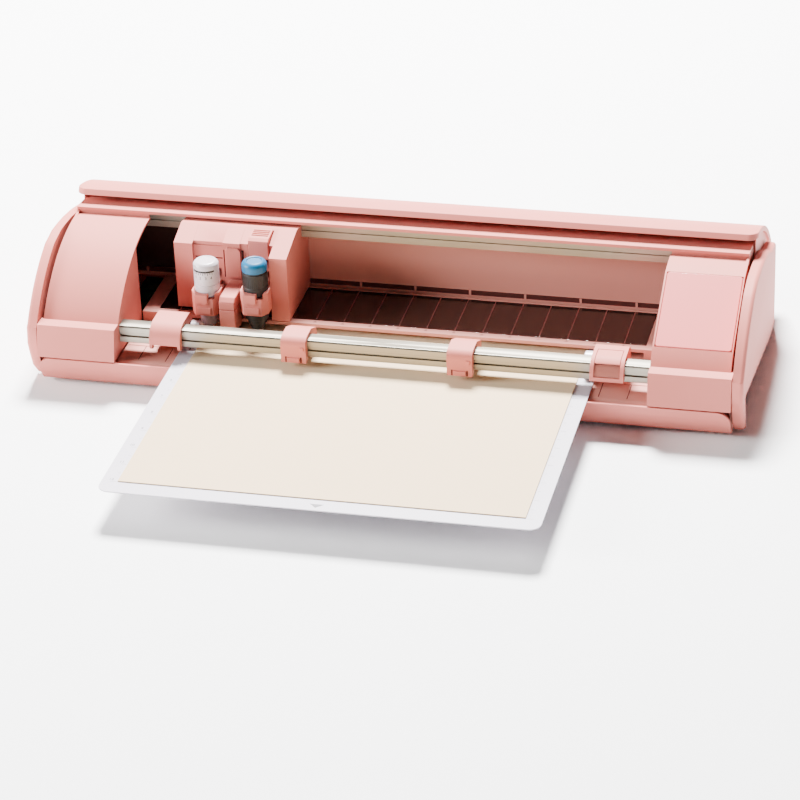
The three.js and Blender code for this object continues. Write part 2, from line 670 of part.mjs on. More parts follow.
function endFrame(side) {
  const outline = [
    [-15, panTopZ + GAP],
    [60, panTopZ + GAP],
    [60, arcHeight(CASE.radius, 60) - 8],
    [BACK_WALL.y, arcHeight(CASE.radius, BACK_WALL.y) - 3],
    [10, arcHeight(CASE.radius, 10) - 4],
    [-15, arcHeight(CASE.radius, -15) - 9],
  ];
  const x = END_FRAME.x + sideways;
  return slab(outline, ...sided(side, x, x + END_FRAME.thickness));
}
add("end_frame_left", endFrame(-1), steel);
add("end_frame_right", endFrame(1), steel);

// ---------------------------------------------------------------- pinch bar, housings and wheels

function pinchBar() {
  const half = podInner + 5;
  const [y0, y1] = barY;
  const [z0, z1] = barZ;
  const outline = [
    [y0, z0],
    [y0, z0 + 5],
    [y0 + 1.6, z0 + 5.4],
    [y0 + 1.6, z0 + 8.2],
    [y0, z0 + 8.6],
    [y0, z1 - 1],
    [y0 + 1, z1],
    [y1, z1],
    [y1, z0],
  ];
  return slab(outline, -half, half);
}
add("pinch_bar", pinchBar(), aluminium);

const houseFront = FEED.y - PINCH.front;
const houseBack = FEED.y + PINCH.back;

// Housing drawn about x = 0: a rounded hood over the bar with an arm that reaches back over the wheel.
function pinchHousing({ width, bottomZ, crown, wheel }) {
  const half = width / 2;
  const { topZ, wheelRadius } = PINCH;
  const roundBack = bend(houseBack - 7, topZ - 7, 7, 90, 0, 5);
  const slopedBack = [[barY[1] + 1, topZ], [houseBack - 1, topZ - 6.5]];
  const outline = [
    [houseFront, bottomZ],
    ...bend(houseFront + crown, topZ - crown, crown, 180, 90, 8),
    ...(wheel === 0 ? slopedBack : roundBack),
    [houseBack, 40],
    [FEED.y - 10.5, 31],
    [FEED.y - 10.5, 34.5],
    [barY[0], 34.5],
    [barY[0], bottomZ],
  ];
  const barChannel = box(
    [-half - 1, half + 1],
    [barY[0] - 0.5, barY[1] + 0.5],
    [barZ[0] - 3, barZ[1] + 0.5],
  );
  const body = slab(outline, -half, half).subtract(barChannel);
  if (wheel !== 0) {
    return body.add(rodX(PINCH.axle, ...sided(wheel, half - 1, half + 8), FEED.y, wheelZ, 16));
  }
  const slotHalf = half - 2;
  return body
    .subtract(rodX(wheelRadius + RUN, -slotHalf, slotHalf, FEED.y, wheelZ))
    .subtract(box([-slotHalf, slotHalf], [FEED.y - wheelRadius - RUN, houseBack + 1], [20, wheelZ]))
    .add(rodX(PINCH.axle, -half, half, FEED.y, wheelZ, 16));
}

// Two short guides under the left housing's front.
function prongs(width) {
  const half = width / 2;
  const outline = [
    [houseFront, 40],
    [houseFront, 36.5],
    [houseFront + 2, 34.5],
    [houseFront + 5, 34.5],
    [houseFront + 5.5, 40],
  ];
  return slab(outline, -half, -half + 2.2).add(slab(outline, half - 2.2, half));
}

function pinchWheel(x0, x1) {
  const wheel = rodX(PINCH.wheelRadius, x0, x1, FEED.y, wheelZ, 36);
  return wheel.subtract(rodX(PINCH.axle + GAP, x0 - 1, x1 + 1, FEED.y, wheelZ, 16));
}

// The lever lies in the housing's top: low is degrees round the crown, back is where it hinges.
const LEVER = { margin: 3.2, thickness: 1.5, low: 128, back: FEED.y - 8.5 };
function leverOutline(crown, gap, turnGap) {
  const { topZ } = PINCH;
  const middle = [houseFront + crown, topZ - crown];
  return [
    ...bend(...middle, crown + gap, LEVER.low + turnGap, 90, 6),
    [LEVER.back + gap, topZ + gap],
    [LEVER.back + gap, topZ - LEVER.thickness - gap],
    ...bend(...middle, crown - LEVER.thickness - gap, 90, LEVER.low + turnGap, 6),
  ];
}

// The finger window below the lever, sunk a little into the crown.
function leverWindow(crown) {
  const middle = [houseFront + crown, PINCH.topZ - crown];
  return [...bend(...middle, crown - 1.3, 178, 120, 8), ...bend(...middle, crown + 1, 120, 178, 8)];
}

HOUSINGS.forEach((housing, i) => {
  const { x, width, crown, wheel } = housing;
  const half = width / 2;
  let body = pinchHousing(housing);
  if (wheel > 0) body = body.add(prongs(width));
  if (wheel < 0) {
    const leverX = [-half + LEVER.margin, half - LEVER.margin];
    const open = [leverX[0] - GAP, leverX[1] + GAP];
    body = body.subtract(slab(leverOutline(crown, 0.5, 2), ...open));
    body = body.subtract(slab(leverWindow(crown), ...open));
    add("pinch_lever", slab(leverOutline(crown, 0, 0), ...leverX), pink).position.x = x;
  }
  const wheelSpan = wheel === 0 ? [-half + 2 + GAP, half - 2 - GAP] : sided(wheel, half + GAP, half + 8.8);
  add(`pinch_housing_${i + 1}`, body, pink).position.x = x;
  add(`pinch_wheel_${i + 1}`, pinchWheel(...wheelSpan), white).position.x = x;
});

// ---------------------------------------------------------------- carriage

const crestY = RAIL.frontY - 13.5;
const crestZ = railTopZ + 2.2;
const carriageTopY = RAIL.frontY - GAP;

// Side view of one upright slice of the carriage, from its own front face back to the rail.
function slice(frontY, shoulderZ = CARRIAGE.shoulderZ) {
  return [
    [frontY, CARRIAGE.bottomZ],
    [frontY, shoulderZ],
    [crestY, crestZ],
    [carriageTopY, railTopZ],
    [carriageTopY, railBottomZ - GAP],
    [CARRIAGE.backY, railBottomZ - GAP],
    [CARRIAGE.backY, CARRIAGE.bottomZ],
  ];
}

function carriageBody() {
  const { left, right, bays, rearFaceY, leftFaceY, postFaceY, rightFaceY, backY, bottomZ } = CARRIAGE;
  const [bay1, bay2] = bays;
  const hookX = [left + 8, right - 8];
  const buttonX = [BUTTON.x[0] - 0.6, BUTTON.x[1] + 0.6];
  const buttonRoom = box(buttonX, [rearFaceY - 3, BUTTON.backY + RUN], [72, 120]);
  let body = union(
    slab(slice(rearFaceY, CARRIAGE.shoulderZ + 3), left, right),
    slab(slice(leftFaceY, CARRIAGE.shoulderZ + 2), left, bay1[0]),
    slab(slice(postFaceY, CARRIAGE.shoulderZ + 3), bay1[1], bay2[0]),
    slab(slice(rightFaceY), bay2[1] + 2.6, right),
    box([bay1[0] - 1, bay1[1] + 1], [postFaceY, rearFaceY + 1], [81, CARRIAGE.shoulderZ]),
    box(hookX, [railBackY + GAP, backY], [railBottomZ - 1, railTopZ - 3]),
    box([-140, -130], [railBackY - 0.9, railBackY + 1], [beltZ[0] + 0.4, beltZ[1] - 0.4]),
  );
  body = body.subtract(buttonRoom);
  for (const { x } of [TOOL_1, TOOL_2]) {
    body = body.subtract(box([x - 5.3, x + 5.3], [rearFaceY - 1, 4], [bottomZ - 1, 71]));
  }
  const hollow = box([left + 3, right - 3], [6, RAIL.frontY - 3], [bottomZ + 3, railBottomZ - 4]);
  const lowerBack = box([left + 3, right - 3], [RAIL.frontY - 4, backY + 1], [bottomZ + 3, railBottomZ - 4]);
  return body.subtract(hollow).subtract(lowerBack);
}

const carriage = new THREE.Group();
machine.add(carriage);
add("carriage_body", carriageBody(), pink, carriage);

const sensorBack = CARRIAGE.postFaceY - GAP;
const sensorLower = box(EYE.x, [EYE.frontY, -30], [EYE.bottomZ, 52]);
const sensorNeck = box(EYE.neckX, [-31, sensorBack], [38, 51]);
add("sensor_housing", sensorLower.add(sensorNeck), pink, carriage);
const capBottom = 52 + GAP;
const capOutline = [
  [EYE.frontY, capBottom],
  [EYE.frontY, 59],
  [EYE.frontY + 3.5, 62.5],
  [sensorBack, 62.5],
  [sensorBack, capBottom],
];
add("sensor_cap", slab(capOutline, ...EYE.x), pink, carriage);

function bayButton() {
  const { x, frontY, backY, bottomZ } = BUTTON;
  const outline = [[frontY, bottomZ], [frontY, 97.5], [frontY + 3.5, 99.2], [backY, 100.6], [backY, bottomZ]];
  return slab(outline, ...x);
}
add("bay_2_button", bayButton(), pink, carriage);

// Rear half of a tool collar with the tongue that runs up and down in the carriage.
function liftBlock({ x, clampZ }) {
  const { radius, collarHalf } = TOOL;
  const z = [clampZ[0] + 2, clampZ[1] - 4];
  const collar = box([x - collarHalf, x + collarHalf], [TOOL_Y + 3, TOOL_Y + radius + 4.5], z);
  const tongue = box([x - 5, x + 5], [TOOL_Y + radius + 2, 0], z);
  const bore = rodZ(radius + GAP, 0, 120, x, TOOL_Y);
  return collar.add(tongue).subtract(bore);
}

// Front half of the collar, with a pull lip across its top.
function clampFront({ x, clampZ }) {
  const { radius, clampHalf } = TOOL;
  const outline = [
    [x - clampHalf, TOOL_Y + 2.7],
    [x - clampHalf, TOOL_Y - 6],
    [x - clampHalf + 4, TOOL_Y - 12.2],
    [x + clampHalf - 4, TOOL_Y - 12.2],
    [x + clampHalf, TOOL_Y - 6],
    [x + clampHalf, TOOL_Y + 2.7],
  ];
  const notch = box([x + 3.5, x + 8.5], [TOOL_Y - 14, TOOL_Y], [clampZ[1] - 4, clampZ[1] + 1]);
  const bore = rodZ(radius + GAP, 0, 120, x, TOOL_Y);
  const mouth = box([x - radius - GAP, x + radius + GAP], [TOOL_Y, TOOL_Y + 4], [0, 120]);
  return plate(outline, ...clampZ).subtract(bore).subtract(mouth).subtract(notch);
}

[TOOL_1, TOOL_2].forEach((tool, i) => {
  add(`lift_block_${i + 1}`, liftBlock(tool), innerPink, carriage);
  add(`clamp_${i + 1}`, clampFront(tool), pink, carriage);
});

const { radius: toolR, tipRadius } = TOOL;
function toolOneParts({ x, topZ, clampZ, tipZ }) {
  const neckZ = clampZ[0] + 1;
  const body = [[0, neckZ], [toolR, neckZ], [toolR, topZ - 2.5], [toolR - 2.5, topZ], [0, topZ]];
  add("tool_1_body", turned(body, x, TOOL_Y), white, carriage);
  const neck = [tipRadius - 0.2, neckZ - GAP];
  const tip = [[0, tipZ], [5, tipZ], [tipRadius - 0.6, tipZ + 3.5], neck, [0, neckZ - GAP]];
  add("tool_1_tip", turned(tip, x, TOOL_Y), mauve, carriage);
}
toolOneParts(TOOL_1);

function toolTwoParts({ x, topZ, clampZ, tipZ }) {
  const neckZ = clampZ[0] + 1;
  const capZ = topZ - 8.5;
  const body = [[0, neckZ], [toolR, neckZ], [toolR, capZ - GAP], [0, capZ - GAP]];
  add("tool_2_body", turned(body, x, TOOL_Y), charcoal, carriage);
  const cap = [[0, capZ], [toolR, capZ], [toolR, capZ + 5], [toolR - 3, topZ], [0, topZ]];
  add("tool_2_cap", turned(cap, x, TOOL_Y), blue, carriage);
  const tip = [
    [0, tipZ], [6, tipZ], [6, tipZ + 5], [tipRadius, tipZ + 5.5],
    [tipRadius, tipZ + 9], [toolR - 1, tipZ + 9.5], [toolR - 1, neckZ - GAP], [0, neckZ - GAP],
  ];
  add("tool_2_tip", turned(tip, x, TOOL_Y), nozzleGrey, carriage);
}
toolTwoParts(TOOL_2);

// ---------------------------------------------------------------- drawer

function fascia() {
  const half = innerPlane - 0.7;
  const { drop, bottomZ, thickness } = FASCIA;
  const topZ = PLATEN.topZ - drop;
  const depth = 9.6;
  const curve = (inset) =>
    Array.from({ length: 7 }, (_, i) => {
      const share = i / 6;
      const z = bottomZ + (topZ - bottomZ) * share;
      return [boxFrontY + depth * (1 - share) ** 2 + inset, z];
    });
  const outline = [...curve(0), ...curve(thickness).reverse()];
  const corner = 10;
  const front = [
    [-half, bottomZ - 1],
    [-half, topZ - corner],
    ...bend(-half + corner, topZ - corner, corner, 180, 90).slice(1),
    ...bend(half - corner, topZ - corner, corner, 90, 0),
    [half, bottomZ - 1],
  ];
  return slab(outline, -half, half).intersect(upright(front, boxFrontY - 5, boxFrontY + 25));
}
add("front_fascia", fascia(), pink);

function tray() {
  const { z, thickness, halfWidth, backY } = TRAY;
  const frontY = boxFrontY + 10.4;
  let body = box([-halfWidth, halfWidth], [frontY, backY], [z, z + thickness]);
  for (const side of [-1, 1]) {
    body = body.add(box(sided(side, halfWidth - 2, halfWidth), [frontY, FEED.y - 14], [z, z + 9]));
  }
  return body;
}
add("drawer_tray", tray(), innerPink);

// ---------------------------------------------------------------- mat and sheet

const matOutline = roundedRectangle(-MAT.width / 2, MAT.width / 2, MAT.frontY, MAT.backY, MAT.corner);
add("cutting_mat", plate(matOutline, matZ, matZ + MAT.thickness), frosted);
const sheetHalf = PAPER.size / 2;
const sheetY = [PAPER.frontY, PAPER.frontY + PAPER.size];
add("paper_sheet", box([-sheetHalf, sheetHalf], sheetY, [paperZ, paperZ + PAPER.thickness]), paper);

// The whole object is centred over its footprint, open lid and mat included.
const lidBackY = ARC.y + lidOut * Math.sin(THREE.MathUtils.degToRad(LID.back));
machine.position.y = -(MAT.frontY + lidBackY) / 2;

const group = new THREE.Group();
group.add(machine);

export default group;
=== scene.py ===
"""Desktop die cutting machine with its lid open and a cutting mat in the feed.

Every length below is in millimetres from the machine's own middle plane unless its name ends in _m.
X runs to the right seen from the front, Y to the back and Z up.
"""
import json
import logging
import math
from collections.abc import Callable, Sequence
from dataclasses import dataclass
from enum import Enum

import bmesh
import bpy
from mathutils import Matrix, Vector


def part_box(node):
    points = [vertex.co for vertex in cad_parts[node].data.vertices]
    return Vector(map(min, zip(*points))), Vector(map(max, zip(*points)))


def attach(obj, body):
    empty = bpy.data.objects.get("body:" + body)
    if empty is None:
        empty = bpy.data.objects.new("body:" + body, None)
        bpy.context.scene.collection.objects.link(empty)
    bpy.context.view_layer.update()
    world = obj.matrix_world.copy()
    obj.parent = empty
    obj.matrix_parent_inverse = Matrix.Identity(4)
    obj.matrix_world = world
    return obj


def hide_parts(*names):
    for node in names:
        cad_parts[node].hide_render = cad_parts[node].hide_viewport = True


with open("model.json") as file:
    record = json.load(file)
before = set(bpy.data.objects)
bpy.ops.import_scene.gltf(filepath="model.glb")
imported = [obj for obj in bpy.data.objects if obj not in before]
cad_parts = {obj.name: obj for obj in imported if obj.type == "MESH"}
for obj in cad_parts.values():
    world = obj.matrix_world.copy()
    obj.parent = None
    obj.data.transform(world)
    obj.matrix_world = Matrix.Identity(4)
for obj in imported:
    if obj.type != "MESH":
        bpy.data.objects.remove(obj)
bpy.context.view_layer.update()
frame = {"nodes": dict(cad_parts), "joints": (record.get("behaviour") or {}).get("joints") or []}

log = logging.getLogger("die_cutting_machine")

MM = 1000.0  # millimetres in a metre
ARC_Y = 9.0  # centre line shared by the pods, the covers and the lid
LID_JOINT = next(joint for joint in frame["joints"] if joint["name"] == "lid_close")
SHIFT_Y = LID_JOINT["pos_m"][1] * MM - ARC_Y  # from the machine's middle to the row frame
Pair = tuple[float, float]
Outline = Sequence[Pair]
Triple = tuple[float, float, float]
BMesh = bmesh.types.BMesh
Edge = bmesh.types.BMEdge
WELD = 1e-4  # points closer than this are one
FRAME_WELD_M = 2e-6
PLAIN_SHARP_DEGREES = 30.0  # edges past this stay sharp on a piece with no eased edges


class Along(Enum):
    """The direction that a flat outline is drawn out along."""

    X = "side view (y, z) carried along X"
    Y = "front view (x, z) carried back along Y"
    Z = "plan view (x, y) carried up Z"


# ---- mesh helpers


def machine_box(node: str) -> tuple[Vector, Vector]:
    """Gives a CAD node's box in machine millimetres.

    Args:
        node: name of the CAD node.

    Returns:
        Its lowest and highest corners.
    """
    low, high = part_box(node)
    shift = Vector((0, SHIFT_Y, 0))
    return low * MM - shift, high * MM - shift


def span(middle: float, half: float) -> Pair:
    """Gives the two ends of a length from its middle and half of it."""
    return middle - half, middle + half


def rectangle(across: Sequence[float], up: Sequence[float]) -> list[Pair]:
    """Gives the corners of an upright rectangle from its ends on both axes."""
    return [(across[0], up[0]), (across[1], up[0]), (across[1], up[1]), (across[0], up[1])]


def bend(a: float, b: float, radius: float, start: float, end: float, steps: int = 6) -> list[Pair]:
    """Draws a round stretch of an outline.

    Args:
        a: first coordinate of its centre.
        b: second coordinate of its centre.
        radius: its radius.
        start: first angle, in degrees counter-clockwise from the first axis.
        end: last angle in degrees.
        steps: number of chords.

    Returns:
        Points of the outline.
    """
    angles = [math.radians(start + (end - start) * i / steps) for i in range(steps + 1)]
    return [(a + radius * math.cos(t), b + radius * math.sin(t)) for t in angles]


def drawn(outline: Outline, along: Along, start: float, end: float) -> BMesh:
    """Draws a flat outline out into a closed solid.

    Args:
        outline: corners of the flat face.
        along: which view the outline is drawn in.
        start: where the solid starts on its own direction.
        end: where it ends.

    Returns:
        The solid.
    """
    place = {
        Along.X: lambda p, d: (d, p[0], p[1]),
        Along.Y: lambda p, d: (p[0], d, p[1]),
        Along.Z: lambda p, d: (p[0], p[1], d),
    }[along]
    bm = bmesh.new()
    face = bm.faces.new([bm.verts.new(place(point, start)) for point in outline])
    grown = bmesh.ops.extrude_face_region(bm, geom=[face])
    moved = [v for v in grown["geom"] if isinstance(v, bmesh.types.BMVert)]
    bmesh.ops.translate(bm, verts=moved, vec=Vector(place((0, 0), end - start)))
    bmesh.ops.recalc_face_normals(bm, faces=bm.faces)
    return bm


def turned(profile: Outline, x: float, y: float, steps: int = 48) -> BMesh:
    """Spins a profile round a vertical axis.

    Args:
        profile: (radius, z) points that start and end on the axis, or close on themselves.
        x: place of the axis.
        y: place of the axis.
        steps: faces round the axis.

    Returns:
        The turned solid.
    """
    bm = bmesh.new()
    verts = [bm.verts.new((x + radius, y, z)) for radius, z in profile]
    edges = [bm.edges.new(pair) for pair in zip(verts, verts[1:])]
    if profile[0][0] > 0:
        edges.append(bm.edges.new((verts[-1], verts[0])))
    bmesh.ops.spin(
        bm, geom=verts + edges, cent=(x, y, 0), axis=(0, 0, 1), angle=math.tau, steps=steps,
        use_merge=True,
    )
    bmesh.ops.remove_doubles(bm, verts=bm.verts, dist=WELD)
    bmesh.ops.recalc_face_normals(bm, faces=bm.faces)
    return bm


def laid_over(bm: BMesh, y: float, z: float) -> BMesh:
    """Turns a solid made on a vertical axis through the origin so that its axis lies along X.

    Args:
        bm: the turned solid, whose Z becomes X.
        y: place of the new axis.
        z: place of the new axis.

    Returns:
        The same mesh.
    """
    bmesh.ops.rotate(bm, verts=bm.verts, cent=(0, 0, 0), matrix=Matrix.Rotation(math.pi / 2, 3, "Y"))
    bmesh.ops.translate(bm, verts=bm.verts, vec=(0, y, z))
    return bm


def settled(name: str, bm: BMesh) -> bpy.types.Mesh:
    """Turns an edit mesh, which is used up, into a mesh.

    Args:
        name: the mesh's name.
        bm: the edit mesh.

    Returns:
        The mesh.
    """
    mesh = bpy.data.meshes.new(name)
    bm.to_mesh(mesh)
    bm.free()
    return mesh


def linked(name: str, data: bpy.types.ID) -> bpy.types.Object:
    """Makes an object round its data and links it to the scene.

    Args:
        name: the object's name.
        data: its mesh, curve, light or camera.

    Returns:
        The object, at the origin.
    """
    obj = bpy.data.objects.new(name, data)
    bpy.context.scene.collection.objects.link(obj)
    return obj


def joined(*parts: BMesh) -> BMesh:
    """Puts several solids in one mesh.

    Args:
        parts: the solids, which are used up.

    Returns:
        The mesh that holds them all.
    """
    whole = bmesh.new()
    for part in parts:
        carrier = settled("carrier", part)
        whole.from_mesh(carrier)
        bpy.data.meshes.remove(carrier)
    return whole


def rounded(bm: BMesh, width: float, segments: int, wanted: Callable[[Edge], bool]) -> None:
    """Bevels the edges that a test picks.

    Args:
        bm: the mesh.
        width: width of the bevel.
        segments: faces across it.
        wanted: test of one edge.
    """
    edges = [edge for edge in bm.edges if len(edge.link_faces) == 2 and wanted(edge)]
    bmesh.ops.bevel(
        bm, geom=edges, offset=width, offset_type="OFFSET", segments=segments,
        profile=0.5, affect="EDGES", material=-1, clamp_overlap=True,
    )


def copied(node: str, flat_degrees: float = 0.6) -> BMesh:
    """Copies a CAD node's mesh in machine millimetres, with its flat faces whole again.

    Args:
        node: name of the CAD node.
        flat_degrees: faces that meet at less than this are made one.

    Returns:
        The copy.
    """
    bm = bmesh.new()
    bm.from_mesh(frame["nodes"][node].data)
    bmesh.ops.remove_doubles(bm, verts=bm.verts, dist=FRAME_WELD_M)
    bmesh.ops.scale(bm, verts=bm.verts, vec=(MM, MM, MM))
    bmesh.ops.translate(bm, verts=bm.verts, vec=(0, -SHIFT_Y, 0))
    bmesh.ops.dissolve_limit(
        bm, angle_limit=math.radians(flat_degrees), verts=bm.verts, edges=bm.edges,
        use_dissolve_boundaries=False,
    )
    return bm


def lettering(text: str, size: float, depth: float) -> BMesh:
    """Makes generic digits as a thin raised mesh, flat on the XY plane about the origin.

    Args:
        text: the digits.
        size: height of the type.
        depth: how thick the print is.

    Returns:
        The digits' mesh.
    """
    curve = bpy.data.curves.new("digits", "FONT")
    curve.body, curve.size, curve.extrude = text, size, depth / 2
    curve.align_x, curve.align_y = "CENTER", "CENTER"
    curve.resolution_u = 3
    holder = linked("digits", curve)
    mesh = bpy.data.meshes.new_from_object(holder)
    bm = bmesh.new()
    bm.from_mesh(mesh)
    bpy.data.objects.remove(holder)
    bpy.data.curves.remove(curve)
    bpy.data.meshes.remove(mesh)
    bmesh.ops.remove_doubles(bm, verts=bm.verts, dist=WELD)
    return bm


def wrapped(bm: BMesh, radius: float, x: float, y: float, z: float) -> BMesh:
    """Wraps a flat mesh round the front of an upright cylinder.

    Args:
        bm: mesh on the XY plane, whose Z is its thickness.
        radius: the cylinder's radius.
        x: place of its axis.
        y: place of its axis.
        z: height that the mesh's own zero goes to.

    Returns:
        The same mesh.
    """
    for vert in bm.verts:
        across, up, out = vert.co
        angle = across / radius
        reach = radius + out
        vert.co = Vector((x + reach * math.sin(angle), y - reach * math.cos(angle), z + up))
    return bm


@dataclass(frozen=True)
class Ease:
    """How a piece's edges are eased: width, faces across, and the angle past which an edge counts."""

    width: float = 0.5
    segments: int = 2
    angle: float = 28.0


def piece(
    name: str,
    bm: BMesh,
    body: str,
    finish: "Finish",
    stands_for: Sequence[str] = (),
    ease: Ease | None = Ease(),
) -> None:
    """Args:
        name: the piece's name.
        bm: its mesh, which is used up.
        body: the body it rides on.
        finish: its finish.
        stands_for: CAD nodes it replaces.
        ease: how its edges are eased, or None for none.
    """
    bmesh.ops.translate(bm, verts=bm.verts, vec=(0, SHIFT_Y, 0))
    bmesh.ops.scale(bm, verts=bm.verts, vec=(1 / MM, 1 / MM, 1 / MM))
    mesh = settled(name, bm)
    mesh.materials.append(finish.material())
    mesh.shade_smooth()
    mesh.set_sharp_from_angle(angle=math.radians(ease.angle if ease else PLAIN_SHARP_DEGREES))
    obj = linked(name, mesh)
    if ease:
        bevel = obj.modifiers.new("eased_edges", "BEVEL")
        bevel.width = ease.width / MM
        bevel.segments = ease.segments
        bevel.limit_method = "ANGLE"
        bevel.angle_limit = math.radians(ease.angle)
        bevel.harden_normals = True
        bevel.use_clamp_overlap = True
    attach(obj, body)
    if stands_for:
        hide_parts(*stands_for)
    log.info("%s: %d faces, rides on %s, %s", name, len(mesh.polygons), body, finish.slot)


# ---- finishes


def srgb(code: str) -> tuple[float, float, float, float]:
    """Turns a sRGB hex colour into linear values.

    Args:
        code: six hex digits after a hash.

    Returns:
        Linear red, green, blue and an alpha of one.
    """
    levels = [int(code[i:i + 2], 16) / 255 for i in (1, 3, 5)]
    linear = [v / 12.92 if v <= 0.04045 else ((v + 0.055) / 1.055) ** 2.4 for v in levels]
    return (*linear, 1.0)


def add_node(
    tree: bpy.types.NodeTree, kind: str, values: dict[str, object], **attributes: object,
) -> bpy.types.Node:
    """Adds a node, sets it up and links it.

    Args:
        tree: the node tree.
        kind: the node's type name.
        values: input name to a value, or to an output socket that is linked to it.
        attributes: settings of the node itself.

    Returns:
        The node.
    """
    made = tree.nodes.new(kind)
    for key, value in attributes.items():
        setattr(made, key, value)
    for key, value in values.items():
        if isinstance(value, bpy.types.NodeSocket):
            tree.links.new(value, made.inputs[key])
        else:
            made.inputs[key].default_value = value
    return made


@dataclass(frozen=True)
class Finish:
    """A plastic or other skin: a base colour, a slow tone change, a fine grain and its gloss."""

    name: str
    slot: str
    colour: str
    roughness: float
    tone: float = 0.035  # how much darker the slow patches are
    tone_mm: float = 70.0
    grain_mm: float = 1.1  # real spark texture is 0.2 mm, drawn coarser so that it shows
    grain_height_mm: float = 0.012
    streak: float = 1.0  # how much longer the grain is along X
    metallic: float = 0.0
    ior: float = 1.5
    coat: float = 0.0
    coat_roughness: float = 0.06
    transmission: float = 0.0
    gloss_spread: float = 0.05
    anisotropic: float = 0.0
    sheen: float = 0.5  # a fine moulded texture shades itself, which takes its sheen down

    def material(self) -> bpy.types.Material:
        """Builds the material once.

        Returns:
            The material, made or found.
        """
        found = bpy.data.materials.get(self.name)
        if found:
            return found
        made = bpy.data.materials.new(self.name)
        made.use_nodes = True
        tree = made.node_tree
        shader = tree.nodes["Principled BSDF"]
        place = tree.nodes.new("ShaderNodeTexCoord").outputs["Object"]
        scale = (1 / self.streak, 1, 1)
        stretch = add_node(tree, "ShaderNodeMapping", {"Vector": place, "Scale": scale})
        along_grain = stretch.outputs["Vector"]
        grain = add_node(
            tree, "ShaderNodeTexNoise",
            {"Vector": along_grain, "Scale": MM / self.grain_mm, "Detail": 2.0, "Roughness": 0.6},
        )
        slow = add_node(
            tree, "ShaderNodeTexNoise",
            {"Vector": place, "Scale": MM / self.tone_mm, "Detail": 3.0, "Roughness": 0.55},
        )
        base = srgb(self.colour)
        dark = tuple(level * (1 - self.tone * 2) for level in base[:3]) + (1.0,)
        blend = add_node(tree, "ShaderNodeMix", {"Factor": slow.outputs["Fac"]}, data_type="RGBA")
        # The sockets named A and B exist once for each kind of data, so the colour ones are picked out.
        colour_sockets = [socket for socket in blend.inputs if socket.type == "RGBA"]
        colour_sockets[0].default_value, colour_sockets[1].default_value = base, dark
        colour_out = next(socket for socket in blend.outputs if socket.type == "RGBA")
        tree.links.new(colour_out, shader.inputs["Base Color"])
        gloss = add_node(
            tree, "ShaderNodeMapRange",
            {"Value": grain.outputs["Fac"], "To Min": self.roughness - self.gloss_spread,
             "To Max": self.roughness + self.gloss_spread},
        )
        tree.links.new(gloss.outputs["Result"], shader.inputs["Roughness"])
        if self.grain_height_mm > 0:
            height_m = self.grain_height_mm / MM
            bump = add_node(
                tree, "ShaderNodeBump",
                {"Height": grain.outputs["Fac"], "Strength": 1.0, "Distance": height_m},
            )
            tree.links.new(bump.outputs["Normal"], shader.inputs["Normal"])
        for name, value in (
            ("Metallic", self.metallic), ("IOR", self.ior), ("Specular IOR Level", self.sheen),
            ("Coat Weight", self.coat), ("Coat Roughness", self.coat_roughness),
            ("Transmission Weight", self.transmission), ("Anisotropic", self.anisotropic),
        ):
            shader.inputs[name].default_value = value
        return made


# Moulded ABS with a fine spark-eroded texture: a soft satin sheen, no mirror spots.
PINK = Finish("moulded_abs_pink", "pink_plastic", "#C77267", 0.6, ior=1.53, sheen=0.2)
# The same ABS in the working space, with painted light: its colour is set apart from PINK's for the
# shade and pink bounce light in there.
INNER_PAINTED_LIGHT = Finish("moulded_abs_inner_painted_light", "inner_plastic", "#C78376", 0.6, ior=1.53, sheen=0.2)
# Polished PMMA plate: a clear gloss over pink.
PANEL = Finish(
    "polished_acrylic_panel", "gloss_panel", "#D05E5B", 0.42, tone=0.015, grain_height_mm=0.0,
    ior=1.49, coat=0.12, sheen=0.3,
)
# Semi-gloss ABS of the wheels and the white tool: a clean narrow highlight down each round side.
WHITE = Finish(
    "moulded_abs_white", "white_plastic", "#CBBFC4", 0.28, tone=0.02, grain_height_mm=0.004, ior=1.53,
)
# Unpainted nylon of the tip and the cutting strip: greyer and duller than the ABS.
MAUVE = Finish("moulded_nylon_mauve", "mauve_plastic", "#8C8089", 0.42, grain_height_mm=0.006, ior=1.53)
# Dark ABS with a low sheen, so that the ribs of the grip still read.
CHARCOAL = Finish(
    "moulded_abs_charcoal", "charcoal_plastic", "#221F1E", 0.5, grain_height_mm=0.006,
    ior=1.53, sheen=0.3,
)
# Saturated blue ABS of the cap, nearly smooth.
BLUE = Finish(
    "moulded_abs_blue", "blue_plastic", "#005A82", 0.4, tone=0.02, grain_height_mm=0.003,
    ior=1.53, sheen=0.3,
)
# Matt rubber of the feet and the belt: it swallows the highlights.
RUBBER = Finish("moulded_rubber", "black_rubber", "#1C1B1B", 0.85, grain_height_mm=0.03, ior=1.52)
# Extruded aluminium: fine die lines along its length stretch the highlights.
EXTRUDED = Finish(
    "extruded_aluminium", "aluminium", "#8F897D", 0.36, tone=0.03, grain_mm=0.9, grain_height_mm=0.006,
    streak=220.0, metallic=1.0, anisotropic=0.5, gloss_spread=0.1,
)
# Rolled steel: short streaks from the mill, greyer than the aluminium.
STEEL = Finish(
    "rolled_steel", "steel", "#9A9B9D", 0.34, tone=0.05, grain_mm=0.8, grain_height_mm=0.004,
    streak=40.0, metallic=1.0, gloss_spread=0.08,
)
# Turned brass: warm, with a tight highlight.
BRASS = Finish("turned_brass", "brass", "#A8863F", 0.3, tone=0.05, grain_height_mm=0.003, metallic=1.0)
# Solder mask over copper: green that darkens in patches where there is no track under it.
BOARD = Finish("solder_mask_board", "circuit_board", "#1F5136", 0.35, tone=0.2, tone_mm=9.0, ior=1.55)
